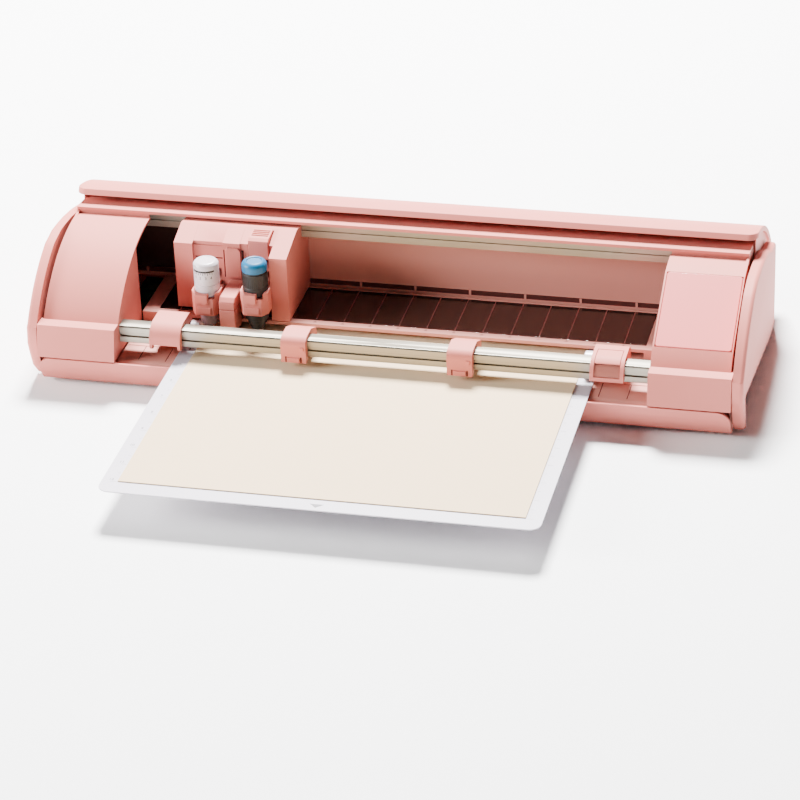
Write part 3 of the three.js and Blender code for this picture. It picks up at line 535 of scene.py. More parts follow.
# Uncoated card: fibres give a faint mottle and no gloss.
CARD = Finish(
    "uncoated_card", "card_stock", "#D6BC98", 0.85, tone=0.018, tone_mm=26.0, grain_mm=0.9,
    grain_height_mm=0.02, ior=1.47,
)
# Frosted PVC: milky, lets a little of what is under it through.
FROSTED = Finish(
    "frosted_pvc_sheet", "frosted_sheet", "#D2CBD4", 0.45, tone=0.02, tone_mm=40.0,
    grain_height_mm=0.006, ior=1.53, transmission=0.25,
)
# Smoked polycarbonate of the window: dark, clear, with a sharp edge to its reflections.
CLEAR = Finish(
    "smoked_polycarbonate", "clear_plastic", "#765046", 0.1, tone=0.01, grain_height_mm=0.0, ior=1.585,
    transmission=0.92, gloss_spread=0.02,
)
# Printed inks: flat films with no grain of their own.
BLACK_PRINT = Finish("black_print", "charcoal_plastic", "#201E1F", 0.6, grain_height_mm=0.0)
GREY_PRINT = Finish("grey_print", "charcoal_plastic", "#6F6B70", 0.6, grain_height_mm=0.0)
PALE_PRINT = Finish("pale_print", "mauve_plastic", "#B9B2B8", 0.6, grain_height_mm=0.0)
RED_PRINT = Finish("deep_pink_print", "inner_plastic", "#8E4A43", 0.5, grain_height_mm=0.0)
# Matt white paper of the studio floor: it takes shadows and throws light back up.
SEAMLESS = Finish("white_seamless_paper", "card_stock", "#FBFBFB", 0.9, tone=0.0, grain_height_mm=0.0)
# Painted shade: the pink ABS darkened for the shade deep in a recess, where its own colour is thrown
# back on it.
RECESS_SHADE = Finish("painted_recess_shade", "inner_plastic", "#9A5A4E", 0.6, grain_height_mm=0.0, sheen=0.2)
# Painted shade: dark colour that stands for the deep shade inside the case, where no light gets in.
DARK_SHADE = Finish(
    "painted_dark_shade", "inner_plastic", "#34201C", 0.6, grain_height_mm=0.0, sheen=0.2,
)
# The dark of a narrow slot in the pink plastic.
SHADOW = Finish("slot_shadow", "inner_plastic", "#4A211C", 0.8, grain_height_mm=0.0, sheen=0.2)


def refine(
    node: str,
    body: str,
    finish: Finish,
    ease: Ease | None = Ease(),
    shape: Callable[[BMesh], None] | None = None,
) -> None:
    """Replaces a CAD node by a copy with whole faces, eased edges and its finish.

    Args:
        node: the CAD node.
        body: the body it rides on.
        finish: its finish.
        ease: how its edges are eased.
        shape: more shaping of the copy, in machine millimetres.
    """
    bm = copied(node)
    if shape:
        shape(bm)
    piece(f"{node}_finished", bm, body, finish, stands_for=[node], ease=ease)


# ---- case


@dataclass
class Case:
    """Base, side covers, pods, touch panel, top and rear covers."""

    cover_round: float = 4.2
    pod_ease: float = 1.1
    panel_corner: float = 2.6
    panel_thickness: float = 3.0  # edges shorter than this stand at the plate's corners
    scoop_y: Pair = (-87.0, 61.0)
    scoop_top_z: float = 33.5
    scoop_depth: float = 6.0
    shade_foot: Pair = (3.4, 5.6)  # height of the painted shade's lower edge, and of its back corner
    shade_slant: float = 7.2  # how far back its front lower corner is
    shade_gap: float = 1.4
    shade_half: float = 0.2  # half its thickness
    outer_x: float = 283.2  # past this a corner is on the side cover's outer face

    def build(self) -> None:
        """Builds every piece of the case."""
        self.base()
        for hand in ("left", "right"):
            refine(f"side_cover_{hand}", "chassis", PINK, shape=self.soften_cover)
            refine(f"pod_{hand}", "chassis", PINK, Ease(self.pod_ease, 3, 24))
            self.scoop_painted_shade(hand)
        self.touch_panel()
        refine("top_cover", "chassis", PINK)
        refine("rear_cover", "chassis", PINK, Ease(0.8, 3))
        refine("power_inlet", "chassis", CHARCOAL)

    def on_outer_rim(self, edge: Edge) -> bool:
        """Tells whether an edge is on a side cover's outer rim and not on its finger scoop.

        Args:
            edge: the edge.

        Returns:
            True for the outer rim.
        """
        ends = [vert.co for vert in edge.verts]
        if min(abs(end.x) for end in ends) < self.outer_x:
            return False
        low, high = self.scoop_y
        in_scoop = [low < end.y < high and end.z < self.scoop_top_z for end in ends]
        return edge.calc_face_angle(0.0) > 1.0 and not all(in_scoop)

    def soften_cover(self, bm: BMesh) -> None:
        """Rounds a side cover's outer rim."""
        rounded(bm, self.cover_round, 6, self.on_outer_rim)

    def scoop_painted_shade(self, hand: str) -> None:
        """Lays a sheet of painted shade in a side cover's finger scoop.

        Args:
            hand: left or right.
        """
        low, high = machine_box(f"side_cover_{hand}")
        floor = low.x + self.scoop_depth if hand == "left" else high.x - self.scoop_depth
        front, back = self.scoop_y[0], self.scoop_y[1] - self.shade_gap
        foot, corner = self.shade_foot
        outline = [
            (front + self.shade_gap, self.scoop_top_z - 1), (front + self.shade_slant, foot),
            (back, foot), (back, corner),
        ]
        grip = drawn(outline, Along.X, floor - self.shade_half, floor + self.shade_half)
        piece(f"scoop_painted_shade_{hand}", grip, "chassis", RECESS_SHADE, ease=None)

    def base(self) -> None:
        """Builds the base pan, its feet and the board."""
        refine("base_pan", "chassis", INNER_PAINTED_LIGHT, Ease(0.4))
        for end in ("front", "rear"):
            for hand in ("left", "right"):
                self.foot(f"foot_{end}_{hand}")
        refine("control_board", "chassis", BOARD, Ease(0.2))

    def foot(self, node: str) -> None:
        """Turns a rubber foot with a hollow in its sole.

        Args:
            node: the CAD node it stands for.
        """
        low, high = machine_box(node)
        x, y = (low.x + high.x) / 2, (low.y + high.y) / 2
        radius, top = (high.x - low.x) / 2, high.z
        hollow, hollow_radius = 0.6, 3.0
        profile = [
            (0, hollow), (hollow_radius, hollow), (hollow_radius + 0.4, 0), (radius - 1.6, 0),
            (radius - 0.5, 0.5), (radius, 1.4), (radius, top), (0, top),
        ]
        piece(f"{node}_finished", turned(profile, x, y, 40), "chassis", RUBBER, [node], Ease(0.2))

    def touch_panel(self) -> None:
        """Builds the glossy panel with rounded corners."""
        refine("touch_panel", "chassis", PANEL, Ease(0.7, 4), self.round_panel)

    def round_panel(self, bm: BMesh) -> None:
        """Rounds the four short edges of the panel's plate."""
        rounded(bm, self.panel_corner, 5, lambda edge: edge.calc_length() < self.panel_thickness)


# ---- lid


@dataclass
class Lid:
    """The curved strip that slides over the back of the case."""

    corner: float = 9.0
    corner_cuts: int = 6
    half_width: float = 276.5
    front: Pair = (22.26, 109.24)  # lower front edge, in the side view
    crown: Pair = (25.58, 113.4)  # upper front edge

    def build(self) -> None:
        """Builds the lid."""
        refine("lid", "lid", PINK, Ease(0.9, 4, 20), self.round_corners)

    def round_corners(self, bm: BMesh) -> None:
        """Cuts both front corners round by planes that turn from the front face to the end."""
        dy, dz = self.crown[0] - self.front[0], self.crown[1] - self.front[1]
        face = Vector((0, -dz, dy)).normalized()
        start = Vector((0, self.front[0], self.front[1])) - face * self.corner
        for side in (-1, 1):
            axis = start + Vector((side * (self.half_width - self.corner), 0, 0))
            for i in range(self.corner_cuts):
                turn = math.radians(90 * (i + 0.5) / self.corner_cuts)
                normal = face * math.cos(turn) + Vector((side * math.sin(turn), 0, 0))
                self.cut(bm, axis + normal * self.corner, normal)

    @staticmethod
    def cut(bm: BMesh, point: Vector, normal: Vector) -> None:
        """Takes off what lies past a plane and closes the cut.

        Args:
            bm: the mesh.
            point: a point of the plane.
            normal: the plane's direction, out of the piece.
        """
        geometry = bm.verts[:] + bm.edges[:] + bm.faces[:]
        result = bmesh.ops.bisect_plane(
            bm, geom=geometry, dist=WELD, plane_co=point, plane_no=normal, clear_outer=True,
        )
        edges = [item for item in result["geom_cut"] if isinstance(item, bmesh.types.BMEdge)]
        open_edges = [edge for edge in edges if edge.is_boundary]
        if open_edges:
            bmesh.ops.holes_fill(bm, edges=open_edges)


# ---- working space


@dataclass
class WorkingSpace:
    """Platen, cutting strip, mat guide with its window, and the back wall."""

    mark_pitch: float = 22.5
    mark_y: float = -24.6
    mark_size: float = 3.0
    marks_each_side: int = 8
    mark_height: float = 0.15
    line_half: float = 0.35  # half the width of a line across the window
    line_height: float = 0.12
    guide_top: float = 35.0
    shade_sheet_x: Pair = (-238.0, -150.0)
    shade_sheet_z: Pair = (41.0, 84.0)
    slot_reach: float = 236.0
    slot_z: Pair = (36.4, 40.4)
    rib_pitch: float = 45.0
    rib_half: float = 0.9
    roller_cover_x: Pair = (167.0, 209.0)
    roller_cover_y: Pair = (-70.5, -48.5)
    roller_cover_z: Pair = (26.22, 26.6)
    seam_reaches: Pair = (172.0, 194.0)
    seam_half: float = 0.3
    seam_y: Pair = (-92.8, -71.0)
    seam_z: Pair = (26.15, 26.26)
    hole_x: Pair = (186.0, 202.0)
    hole_y: Pair = (-43.0, -31.0)
    hole_z: Pair = (19.0, 19.8)

    def build(self) -> None:
        """Builds the working space."""
        refine("platen", "chassis", INNER_PAINTED_LIGHT, Ease(0.5, 2, 24))
        refine("cutting_strip", "chassis", MAUVE, Ease(0.2))
        refine("mat_guide", "chassis", INNER_PAINTED_LIGHT, Ease(0.4))
        refine("guide_window", "chassis", CLEAR, Ease(0.3))
        refine("back_wall", "chassis", INNER_PAINTED_LIGHT, Ease(0.4))
        self.marks()
        self.window_lines()
        self.shade_sheet()
        self.slot_shade()
        self.deck_plates()
        self.deck_seams()

    def mark_places(self) -> list[float]:
        """Gives the X place of each mark along the guide."""
        return [i * self.mark_pitch for i in range(-self.marks_each_side, self.marks_each_side + 1)]

    def marks(self) -> None:
        """Raises a small triangle on the guide at each mark."""
        half = self.mark_size / 2
        shapes = []
        for x in self.mark_places():
            front = self.mark_y - half
            outline = [(x - half, front), (x + half, front), (x, self.mark_y + half)]
            shapes.append(drawn(outline, Along.Z, self.guide_top, self.guide_top + self.mark_height))
        piece("guide_marks", joined(*shapes), "chassis", RED_PRINT, ease=None)

    def window_lines(self) -> None:
        """Lays a fine moulded line across the window at each mark."""
        low, high = machine_box("guide_window")
        shapes = []
        for x in self.mark_places():
            outline = rectangle(span(x, self.line_half), (low.y + 1, high.y - 1))
            shapes.append(drawn(outline, Along.Z, high.z, high.z + self.line_height))
        piece("guide_window_lines", joined(*shapes), "chassis", RED_PRINT, ease=None)

    def shade_sheet(self) -> None:
        """Hangs a dark sheet of painted shade before the back wall's left end."""
        wall, _ = machine_box("back_wall")
        sheet = drawn(rectangle(self.shade_sheet_x, self.shade_sheet_z), Along.Y, wall.y - 0.9, wall.y - 0.2)
        piece("back_wall_painted_shade", sheet, "chassis", DARK_SHADE, ease=None)

    def slot_shade(self) -> None:
        """Sets a strip of painted shade for the deep slot along the foot of the back wall, and the
        slot's ribs.
        """
        wall, _ = machine_box("back_wall")
        outline = rectangle(span(0, self.slot_reach), self.slot_z)
        slot = drawn(outline, Along.Y, wall.y - 0.5, wall.y - 0.1)
        piece("back_wall_slot", slot, "chassis", SHADOW, ease=None)
        ribs = []
        for i in range(-5, 6):
            outline = rectangle(span(i * self.rib_pitch, self.rib_half), self.slot_z)
            ribs.append(drawn(outline, Along.Y, wall.y - 0.9, wall.y - 0.4))
        piece("back_wall_slot_ribs", joined(*ribs), "chassis", INNER_PAINTED_LIGHT, ease=None)

    def deck_plates(self) -> None:
        """Covers the feed roller's ends beside the mat."""
        plates = []
        for side in (-1, 1):
            across = sorted(side * reach for reach in self.roller_cover_x)
            plates.append(drawn(rectangle(across, self.roller_cover_y), Along.Z, *self.roller_cover_z))
        piece("deck_roller_covers", joined(*plates), "chassis", INNER_PAINTED_LIGHT, ease=Ease(0.1, 1))

    def deck_seams(self) -> None:
        """Lays the dark seams across the deck beside the mat, and a floor of painted shade in the
        sensor's hole.
        """
        seams = []
        for side in (-1, 1):
            for reach in self.seam_reaches:
                outline = rectangle(span(side * reach, self.seam_half), self.seam_y)
                seams.append(drawn(outline, Along.Z, *self.seam_z))
        piece("deck_seams", joined(*seams), "chassis", SHADOW, ease=None)
        floor = drawn(rectangle(self.hole_x, self.hole_y), Along.Z, *self.hole_z)
        piece("sensor_hole_painted_shade", floor, "chassis", DARK_SHADE, ease=None)


# ---- drive


@dataclass
class Drive:
    """Rail, belt, pulleys, motors, feed roller and its gears."""

    def build(self) -> None:
        """Builds the drive."""
        refine("carriage_rail", "chassis", EXTRUDED, Ease(0.3))
        refine("drive_belt", "chassis", RUBBER, Ease(0.15))
        refine("idler_pulley", "idler_pulley", WHITE, Ease(0.2))
        refine("drive_pulley", "drive_pulley", BRASS, Ease(0.2))
        refine("carriage_motor", "chassis", STEEL, Ease(0.7, 3))
        refine("end_frame_left", "chassis", STEEL, Ease(0.3))
        refine("end_frame_right", "chassis", STEEL, Ease(0.3))
        refine("feed_roller", "feed_roller", STEEL, Ease(0.4))
        refine("roller_gear", "feed_roller", WHITE, Ease(0.12, 1))
        refine("motor_pinion", "motor_pinion", BRASS, Ease(0.12, 1))
        refine("feed_motor", "chassis", STEEL, Ease(0.7, 3))
        for hand in ("left", "right"):
            refine(f"roller_bush_{hand}", "chassis", BRASS, Ease(0.2))


# ---- pinch gear


@dataclass
class PinchGear:
    """Pinch bar, its four sliding housings, their wheels and the lever."""

    feed_y: float = -59.5
    axis_z: float = 37.6
    front_y: float = -90.5
    wheel_radius: float = 8.5
    crown_y: float = -77.5  # centre of the rounded crown of the right housing
    crown_z: float = 41.0
    crown_radius: float = 11.7
    window_angles: Pair = (177.0, 131.0)
    cap_z: float = 41.5
    latch_half: float = 5.0

    def build(self) -> None:
        """Builds the pinch gear."""
        refine("pinch_bar", "chassis", EXTRUDED, Ease(0.3))
        for number in (1, 2, 3, 4):
            housing = f"pinch_housing_{number}"
            refine(housing, housing, PINK, Ease(0.7, 3, 26))
            self.wheel(number)
        for number in (2, 3):
            self.latch(number)
        refine("pinch_lever", "pinch_lever", PINK, Ease(0.45, 3, 26))
        self.corner_nubs()
        self.lever_window()

    def lever_window(self) -> None:
        """Lays painted shade on the floor of the finger window under the lever."""
        low, high = machine_box("pinch_lever")
        start, end = self.window_angles
        outline = bend(self.crown_y, self.crown_z, self.crown_radius + 0.25, start, end, 8)
        outline += bend(self.crown_y, self.crown_z, self.crown_radius - 0.3, end, start, 8)
        window = drawn(outline, Along.X, low.x, high.x)
        piece("lever_window_painted_shade", window, "pinch_housing_4", RECESS_SHADE, ease=None)

    def wheel(self, number: int) -> None:
        """Turns a pinch wheel: a ring with a sunk hub on both faces.

        Args:
            number: the housing's number.
        """
        node = f"pinch_wheel_{number}"
        low, high = machine_box(node)
        left, right = low.x, high.x
        radius, bore, rim, sunk = self.wheel_radius, 2.3, 5.2, 1.6
        profile = [
            (bore, left + sunk), (rim - 0.6, left + sunk), (rim, left + 0.4), (rim + 0.5, left),
            (radius - 0.7, left), (radius, left + 0.7), (radius, right - 0.7), (radius - 0.7, right),
            (rim + 0.5, right), (rim, right - 0.4), (rim - 0.6, right - sunk), (bore, right - sunk),
        ]
        bm = turned(profile, 0, 0, 44)
        laid_over(bm, self.feed_y, self.axis_z)
        piece(f"{node}_finished", bm, node, WHITE, [node], Ease(0.25))

    def latch(self, number: int) -> None:
        """Adds the latch block low on a clip's front and the nub at its right.

        Args:
            number: the housing's number.
        """
        body = f"pinch_housing_{number}"
        low, high = machine_box(body)
        middle, foot, crown = (low.x + high.x) / 2, low.z + 2.2, high.z
        inside = self.front_y + 0.5
        outline = rectangle(span(middle, self.latch_half), (foot + 0.6, foot + 4.6))
        block = drawn(outline, Along.Y, self.front_y - 1.1, inside)
        outline = rectangle((high.x - 4.6, high.x - 1.6), (crown - 10, crown - 7))
        nub = drawn(outline, Along.Y, self.front_y - 0.9, inside)
        piece(f"clip_{number}_latch", joined(block, nub), body, PINK, ease=Ease(0.35))
        # The slots are flat strips of painted shade.
        slots = []
        slot_width = 1.2
        for x0 in (middle - self.latch_half - 0.4 - slot_width, middle + self.latch_half + 0.4):
            outline = rectangle((x0, x0 + slot_width), (foot + 0.4, foot + 5.2))
            slots.append(drawn(outline, Along.Y, self.front_y - 0.05, self.front_y + 0.3))
        piece(f"clip_{number}_slots", joined(*slots), body, SHADOW, ease=None)

    def corner_nubs(self) -> None:
        """Adds the two round nubs at the right housing's upper corners."""
        low, high = machine_box("pinch_housing_4")
        shapes = []
        rim, radius, width = 2.1, 2.5, 2.0
        for x in (low.x - 0.6, high.x - 1.4):
            end = x + width
            profile = [(0, x), (rim, x), (radius, x + 0.4), (radius, end - 0.4), (rim, end), (0, end)]
            shapes.append(laid_over(turned(profile, 0, 0, 24), self.crown_y, self.cap_z))
        piece("lever_pivot_caps", joined(*shapes), "pinch_housing_4", PINK, ease=Ease(0.2))


# ---- carriage


@dataclass
class Carriage:
    """Sliding carriage with two bays, its sensor post, the ridged button, collars and clamps."""

    tool_y: float = -37.0
    clamp_reach: float = 12.2
    post_y: float = -15.0
    post_z: Pair = (64.0, 88.0)
    post_crown: float = 90.5
    bay_1_gap_x: Pair = (-166.5, -144.0)
    bay_1_gap_z: Pair = (79.6, 80.8)
    ridge_y: tuple[float, ...] = (-8.5, -6.0, -3.5, -1.0)
    button_front_y: float = -12.0
    button_front_z: float = 99.2
    button_rise: float = 0.1  # slope of its top, back and up

    def build(self) -> None:
        """Builds the carriage."""
        refine("carriage_body", "carriage", PINK, Ease(0.9, 3, 24))
        refine("sensor_housing", "carriage", PINK, Ease(0.9, 3))
        refine("sensor_cap", "carriage", PINK, Ease(0.9, 3))
        refine("bay_2_button", "bay_2_button", PINK, Ease(0.6, 3, 20))
        self.ridges()
        self.post_face()
        self.bay_shadows()
        for number in (1, 2):
            refine(f"lift_block_{number}", f"tool_lift_{number}", INNER_PAINTED_LIGHT)
            self.clamp(number)

    def post_face(self) -> None:
        """Raises the face of the post between the bays above the sensor."""
        low, high = machine_box("sensor_cap")
        foot, shoulder = self.post_z
        left, right = low.x - 2.4, high.x - 2.4
        outline = [
            (left, foot), (right, foot), (right, shoulder), (right - 2, self.post_crown),
            (left + 1.8, self.post_crown), (left, shoulder),
        ]
        face = drawn(outline, Along.Y, self.post_y - 1.8, self.post_y + 0.3)
        piece("carriage_post_face", face, "carriage", PINK, ease=Ease(0.6, 3))

    def bay_shadows(self) -> None:
        """Lays the narrow dark gaps beside the post and over bay 1."""
        low, high = machine_box("sensor_cap")
        left = rectangle((low.x - 4.1, low.x - 3.1), self.post_z)
        right = rectangle((high.x - 2.0, high.x - 0.4), self.post_z)
        over = rectangle(self.bay_1_gap_x, self.bay_1_gap_z)
        recess = self.post_y + 1.1
        gaps = [
            drawn(left, Along.Y, self.post_y - 0.06, self.post_y + 0.3),
            drawn(right, Along.Y, self.post_y + 0.9, recess),
            drawn(over, Along.Y, self.post_y + 0.86, recess),
        ]
        piece("carriage_bay_shadows", joined(*gaps), "carriage", SHADOW, ease=None)

    def ridges(self) -> None:
        """Lays four grip ridges over the button's sloped top."""
        low, high = machine_box("bay_2_button")
        shapes = []
        for y in self.ridge_y:
            z = self.button_front_z + self.button_rise * (y - self.button_front_y)
            outline = [
                (y - 0.7, z - 0.3), (y - 0.35, z + 0.75), (y + 0.35, z + 0.85), (y + 0.7, z - 0.1),
            ]
            shapes.append(drawn(outline, Along.X, low.x + 1.5, high.x - 1.5))
        piece("bay_2_button_ridges", joined(*shapes), "bay_2_button", PINK, ease=Ease(0.2))

    def clamp(self, number: int) -> None:
        """Builds the front half of a tool collar with its flared pull lip and the catch below it.

        Args:
            number: the bay's number.
        """
        node = f"clamp_{number}"
        refine(node, node, PINK, Ease(0.7, 3, 24))
        low, high = machine_box(node)
        x = (low.x + high.x) / 2
        front = self.tool_y - self.clamp_reach
        crest = high.z - 0.3
        flare = [
            (x - 7.3, crest), (x - 7.6, crest - 6.8), (x - 5.6, crest - 8.6), (x - 2.6, crest - 7.6),
            (x + 0.4, crest - 8.8), (x + 3.2, crest - 7.4), (x + 3.2, crest),
        ]
        lip = drawn(flare, Along.Y, front - 1.4, front + 0.5)
        foot, head = low.z + 1.5, low.z + 7.5
        wedge = [(x - 5.2, foot), (x + 5.2, foot), (x + 5.6, head), (x - 5.6, head)]
        catch = drawn(wedge, Along.Y, front - 0.8, front + 0.5)
        piece(f"{node}_lip", joined(lip, catch), node, PINK, ease=Ease(0.4, 3))


# ---- tools


@dataclass
class Tools:
    """The white cutting tool in bay 1 and the blue-capped tool in bay 2."""

    y: float = -37.0
    x: Pair = (-150.9, -111.2)
    radius: float = 10.1
    white_top: float = 89.4
    white_foot: float = 47.0
    white_seam: float = 18.0  # how far under the top the seam is
    blue_top: float = 92.4
    blue_foot: float = 50.0
    cap_height: float = 8.8
    grip_ribs: int = 40
    print_depth: float = 0.12
    line_drop: float = 6.2  # how far under the white tool's top each print is
    tick_drop: float = 7.2
    digit_drop: float = 11.6
    line_half: Pair = (9.5, 0.8)
    tick_pitch: float = 1.9
    tick_half: float = 0.22
    digit_size: float = 3.4

    def build(self) -> None:
        """Builds both tools."""
        self.white_tool()
        self.white_tool_dial()
        self.blue_tool()

    def white_tool(self) -> None:
        """Turns the white body, its seam and its grey tip."""
        x, r, top, foot = self.x[0], self.radius, self.white_top, self.white_foot
        seam = top - self.white_seam
        profile = [
            (0, foot), (r - 1, foot), (r, foot + 1), (r, seam - 1), (r - 0.35, seam - 0.7),
            (r - 0.35, seam - 0.3), (r, seam), (r, top - 2.6), (r - 0.4, top - 1.7),
            (r - 1.8, top - 0.3), (r - 2.5, top), (r - 3.6, top), (r - 3.8, top - 0.35), (0, top - 0.35),
        ]
        body = turned(profile, x, self.y, 64)
        piece("tool_1_body_finished", body, "tool_lift_1", WHITE, ["tool_1_body"], Ease(0.2, 2))
        profile = [
            (0, 31.7), (2.2, 31.7), (2.6, 32.1), (2.6, 32.9), (4.9, 33.1), (6.0, 34.4), (6.9, 36),
            (7.0, 40), (7.2, 40.4), (7.3, 42), (7.3, foot - 0.3), (0, foot - 0.3),
        ]
        tip = turned(profile, x, self.y, 48)
        piece("tool_1_tip_finished", tip, "tool_lift_1", MAUVE, ["tool_1_tip"], Ease(0.2))

    def white_tool_dial(self) -> None:
        """Prints the dial's bold arc line, the ticks and the generic digits under it on the body."""
        x, r, top, depth = self.x[0], self.radius, self.white_top, self.print_depth
        reach, half = self.line_half
        line = drawn(rectangle(span(0, reach), span(0, half)), Along.Z, 0.0, depth)
        long_edges = [edge for edge in line.edges if edge.calc_length() > reach]
        bmesh.ops.subdivide_edges(line, edges=long_edges, cuts=16)
        shapes = [wrapped(line, r, x, self.y, top - self.line_drop)]
        for i in range(-4, 5):
            high = 2.0 if i % 2 == 0 else 1.2
            outline = rectangle(span(i * self.tick_pitch, self.tick_half), (-high, 0))
            tick = drawn(outline, Along.Z, 0.0, depth)
            shapes.append(wrapped(tick, r, x, self.y, top - self.tick_drop))
        for place, digit in ((-6.6, "1"), (-2.3, "2"), (2.3, "3"), (6.6, "4")):
            digits = lettering(digit, self.digit_size, depth)
            bmesh.ops.translate(digits, verts=digits.verts, vec=(place, 0, depth / 2))
            shapes.append(wrapped(digits, r, x, self.y, top - self.digit_drop))
        piece("tool_1_dial_print", joined(*shapes), "tool_lift_1", BLACK_PRINT, ease=None)

    def blue_tool(self) -> None:
        """Turns the charcoal body, the blue cap and the stepped nozzle."""
        x, r, top, foot = self.x[1], self.radius, self.blue_top, self.blue_foot
        seat = top - self.cap_height
        profile = [
            (0, foot), (r - 1, foot), (r, foot + 1), (r, seat - 13), (r - 0.3, seat - 12.6),
            (r - 0.3, seat - 1.2), (r - 0.9, seat - 0.8), (r - 0.9, seat), (0, seat),
        ]
        body = turned(profile, x, self.y, 64)
        piece("tool_2_body_finished", body, "tool_lift_2", CHARCOAL, ["tool_2_body"], Ease(0.2))
        ribs = []
        for i in range(self.grip_ribs):
            rib = drawn(rectangle(span(0, 0.25), (seat - 12, seat - 2)), Along.Y, -r + 0.08, -r + 0.6)
            turn = Matrix.Rotation(math.tau * i / self.grip_ribs, 3, "Z")
            bmesh.ops.rotate(rib, verts=rib.verts, cent=(0, 0, 0), matrix=turn)
            bmesh.ops.translate(rib, verts=rib.verts, vec=(x, self.y, 0))
            ribs.append(rib)
        piece("tool_2_grip_ribs", joined(*ribs), "tool_lift_2", CHARCOAL, ease=Ease(0.1, 1))
        profile = [
            (0, seat + 0.3), (r - 0.4, seat + 0.3), (r, seat + 0.7), (r, top - 3.7),
            (r - 0.35, top - 2.4), (r - 1.2, top - 1.1), (r - 2.4, top - 0.3), (r - 3.2, top),
            (r - 4.0, top - 0.3), (r - 4.3, top - 0.9), (0, top - 0.9),
        ]
        cap = turned(profile, x, self.y, 64)
        piece("tool_2_cap_finished", cap, "tool_lift_2", BLUE, ["tool_2_cap"], Ease(0.15))
        profile = [
            (0, 33), (4.4, 33), (5.4, 33.4), (6, 34.4), (6, 38), (7.6, 38.5), (7.6, 42), (r - 1, 42.5),
            (r - 1, foot - 0.3), (0, foot - 0.3),
        ]
        nozzle = turned(profile, x, self.y, 48)
        piece("tool_2_tip_finished", nozzle, "tool_lift_2", CHARCOAL, ["tool_2_tip"], Ease(0.25))


# ---- mat and sheet


@dataclass
class MatAndSheet:
    """The frosted cutting mat with its margin marks and the square of card on it."""

    margin_x: float = -158.0
    first_y: float = -278.0
    inch: float = 25.4
    mat_top: float = 27.4
    tick_x: float = 153.6
    tick_half: float = 0.2
    arrow_y: float = -286.5
    digit_size: float = 3.8

    def build(self) -> None:
        """Builds the mat, its print and the card."""
        refine("cutting_mat", "mat", FROSTED, Ease(0.25, 2))
        refine("paper_sheet", "mat", CARD, Ease(0.12, 1))
        self.digits()
        self.arrow()

    def digits(self) -> None:
        """Prints the inch digits down the left margin and the ticks down both margins."""
        shapes = []
        for i in range(12):
            digit = lettering(str(12 - i), self.digit_size, 0.08)
            place = (self.margin_x, self.first_y + 3 + self.inch * i, self.mat_top + 0.05)
            bmesh.ops.translate(digit, verts=digit.verts, vec=place)
            shapes.append(digit)
        piece("mat_inch_digits", joined(*shapes), "mat", GREY_PRINT, ease=None)
        ticks = []
        for i in range(25):
            y = self.first_y + self.inch * i / 2
            reach = 4.5 if i % 2 == 0 else 2.5
            for side in (-1, 1):
                across = sorted((side * self.tick_x, side * (self.tick_x + reach)))
                outline = rectangle(across, span(y, self.tick_half))
                ticks.append(drawn(outline, Along.Z, self.mat_top + 0.01, self.mat_top + 0.08))
        piece("mat_inch_ticks", joined(*ticks), "mat", PALE_PRINT, ease=None)

    def arrow(self) -> None:
        """Prints the grey triangle at the middle of the front margin."""
        base = self.arrow_y + 2.3
        outline = [(-5.2, base), (0, self.arrow_y - 2.5), (5.2, base)]
        arrow = drawn(outline, Along.Z, self.mat_top + 0.01, self.mat_top + 0.09)
        piece("mat_front_arrow", arrow, "mat", GREY_PRINT, ease=None)


# ---- drawer


@dataclass
class Drawer:
    """Front fascia and the tray behind it."""

    def build(self) -> None:
        """Builds the drawer."""
        refine("front_fascia", "drawer", PINK, Ease(0.8, 3, 24))
        refine("drawer_tray", "drawer", INNER_PAINTED_LIGHT, Ease(0.4))


# ---- studio


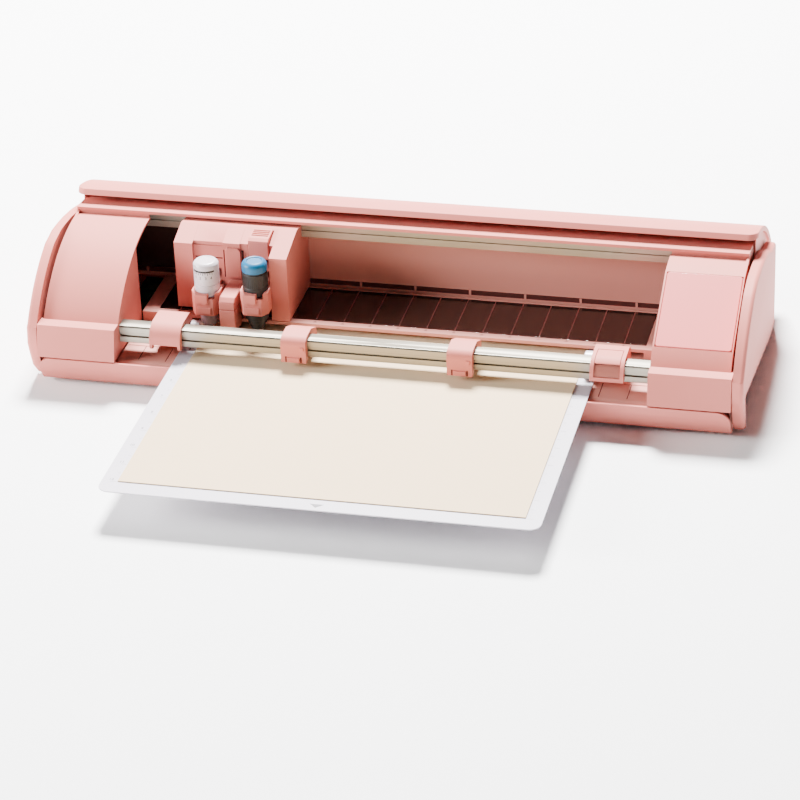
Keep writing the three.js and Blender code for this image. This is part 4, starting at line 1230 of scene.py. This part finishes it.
@dataclass
class Studio:
    """Camera, pale floor and soft lights."""

    azimuth: float = 14.258
    elevation: float = 29.243
    roll: float = -2.359
    distance_m: float = 2.55698
    lens_mm: float = 143.7
    sensor_mm: float = 36.0
    clip_m: Pair = (0.05, 50.0)
    target_m: Triple = (-0.0021, 0.0606, -0.0331)
    floor_half_m: float = 12.0
    world_strength: float = 0.14
    key_place_m: Triple = (-2.4, -0.9, 1.0)
    key_size_m: float = 1.2
    key_watts: float = 190.0
    top_place_m: Triple = (-0.3, 1.35, 2.1)
    top_size_m: float = 0.7
    top_watts: float = 560.0

    def build(self) -> None:
        """Sets up the studio."""
        self.camera()
        self.floor()
        self.lights()

    def camera(self) -> None:
        """Puts the camera at the viewing angle."""
        az, el, roll = (math.radians(v) for v in (self.azimuth, self.elevation, self.roll))
        back = Vector((math.cos(el) * math.sin(az), -math.cos(el) * math.cos(az), math.sin(el)))
        level = Vector((math.cos(az), math.sin(az), 0))
        rise = back.cross(level)
        right = level * math.cos(roll) + rise * math.sin(roll)
        up = rise * math.cos(roll) - level * math.sin(roll)
        data = bpy.data.cameras.new("studio_camera")
        data.lens, data.sensor_width = self.lens_mm, self.sensor_mm
        data.clip_start, data.clip_end = self.clip_m
        obj = linked("studio_camera", data)
        turn = Matrix((right, up, back)).transposed().to_4x4()
        turn.translation = Vector(self.target_m) + back * self.distance_m
        obj.matrix_world = turn
        bpy.context.scene.camera = obj

    def floor(self) -> None:
        """Lays the pale floor."""
        bm = bmesh.new()
        bmesh.ops.create_grid(bm, x_segments=1, y_segments=1, size=self.floor_half_m)
        mesh = settled("studio_floor", bm)
        mesh.materials.append(SEAMLESS.material())
        linked("studio_floor", mesh)

    def lights(self) -> None:
        """Hangs the soft lights and fills the room with white."""
        world = bpy.data.worlds.new("studio_room")
        world.use_nodes = True
        background = world.node_tree.nodes["Background"]
        background.inputs["Color"].default_value = (1, 1, 1, 1)
        background.inputs["Strength"].default_value = self.world_strength
        bpy.context.scene.world = world
        self.panel("key_softbox", self.key_place_m, self.key_size_m, self.key_watts)
        self.panel("top_softbox", self.top_place_m, self.top_size_m, self.top_watts)

    @staticmethod
    def panel(name: str, place: Triple, size: float, watts: float) -> None:
        """Hangs one square softbox that faces the machine.

        Args:
            name: the light's name.
            place: where it hangs, in metres.
            size: its side in metres.
            watts: its power.
        """
        data = bpy.data.lights.new(name, "AREA")
        data.energy, data.size, data.shape = watts, size, "SQUARE"
        obj = linked(name, data)
        obj.location = place
        obj.rotation_euler = (-Vector(place)).to_track_quat("-Z", "Y").to_euler()


def main() -> None:
    """Builds the studio and every sub-assembly."""
    logging.basicConfig(level=logging.INFO, format="%(name)s %(message)s")
    assemblies = (
        Studio(), Case(), Lid(), WorkingSpace(), Drive(), PinchGear(), Carriage(), Tools(),
        MatAndSheet(), Drawer(),
    )
    for assembly in assemblies:
        log.info("building %s", type(assembly).__name__)
        assembly.build()


if __name__ == "__main__":
    main()
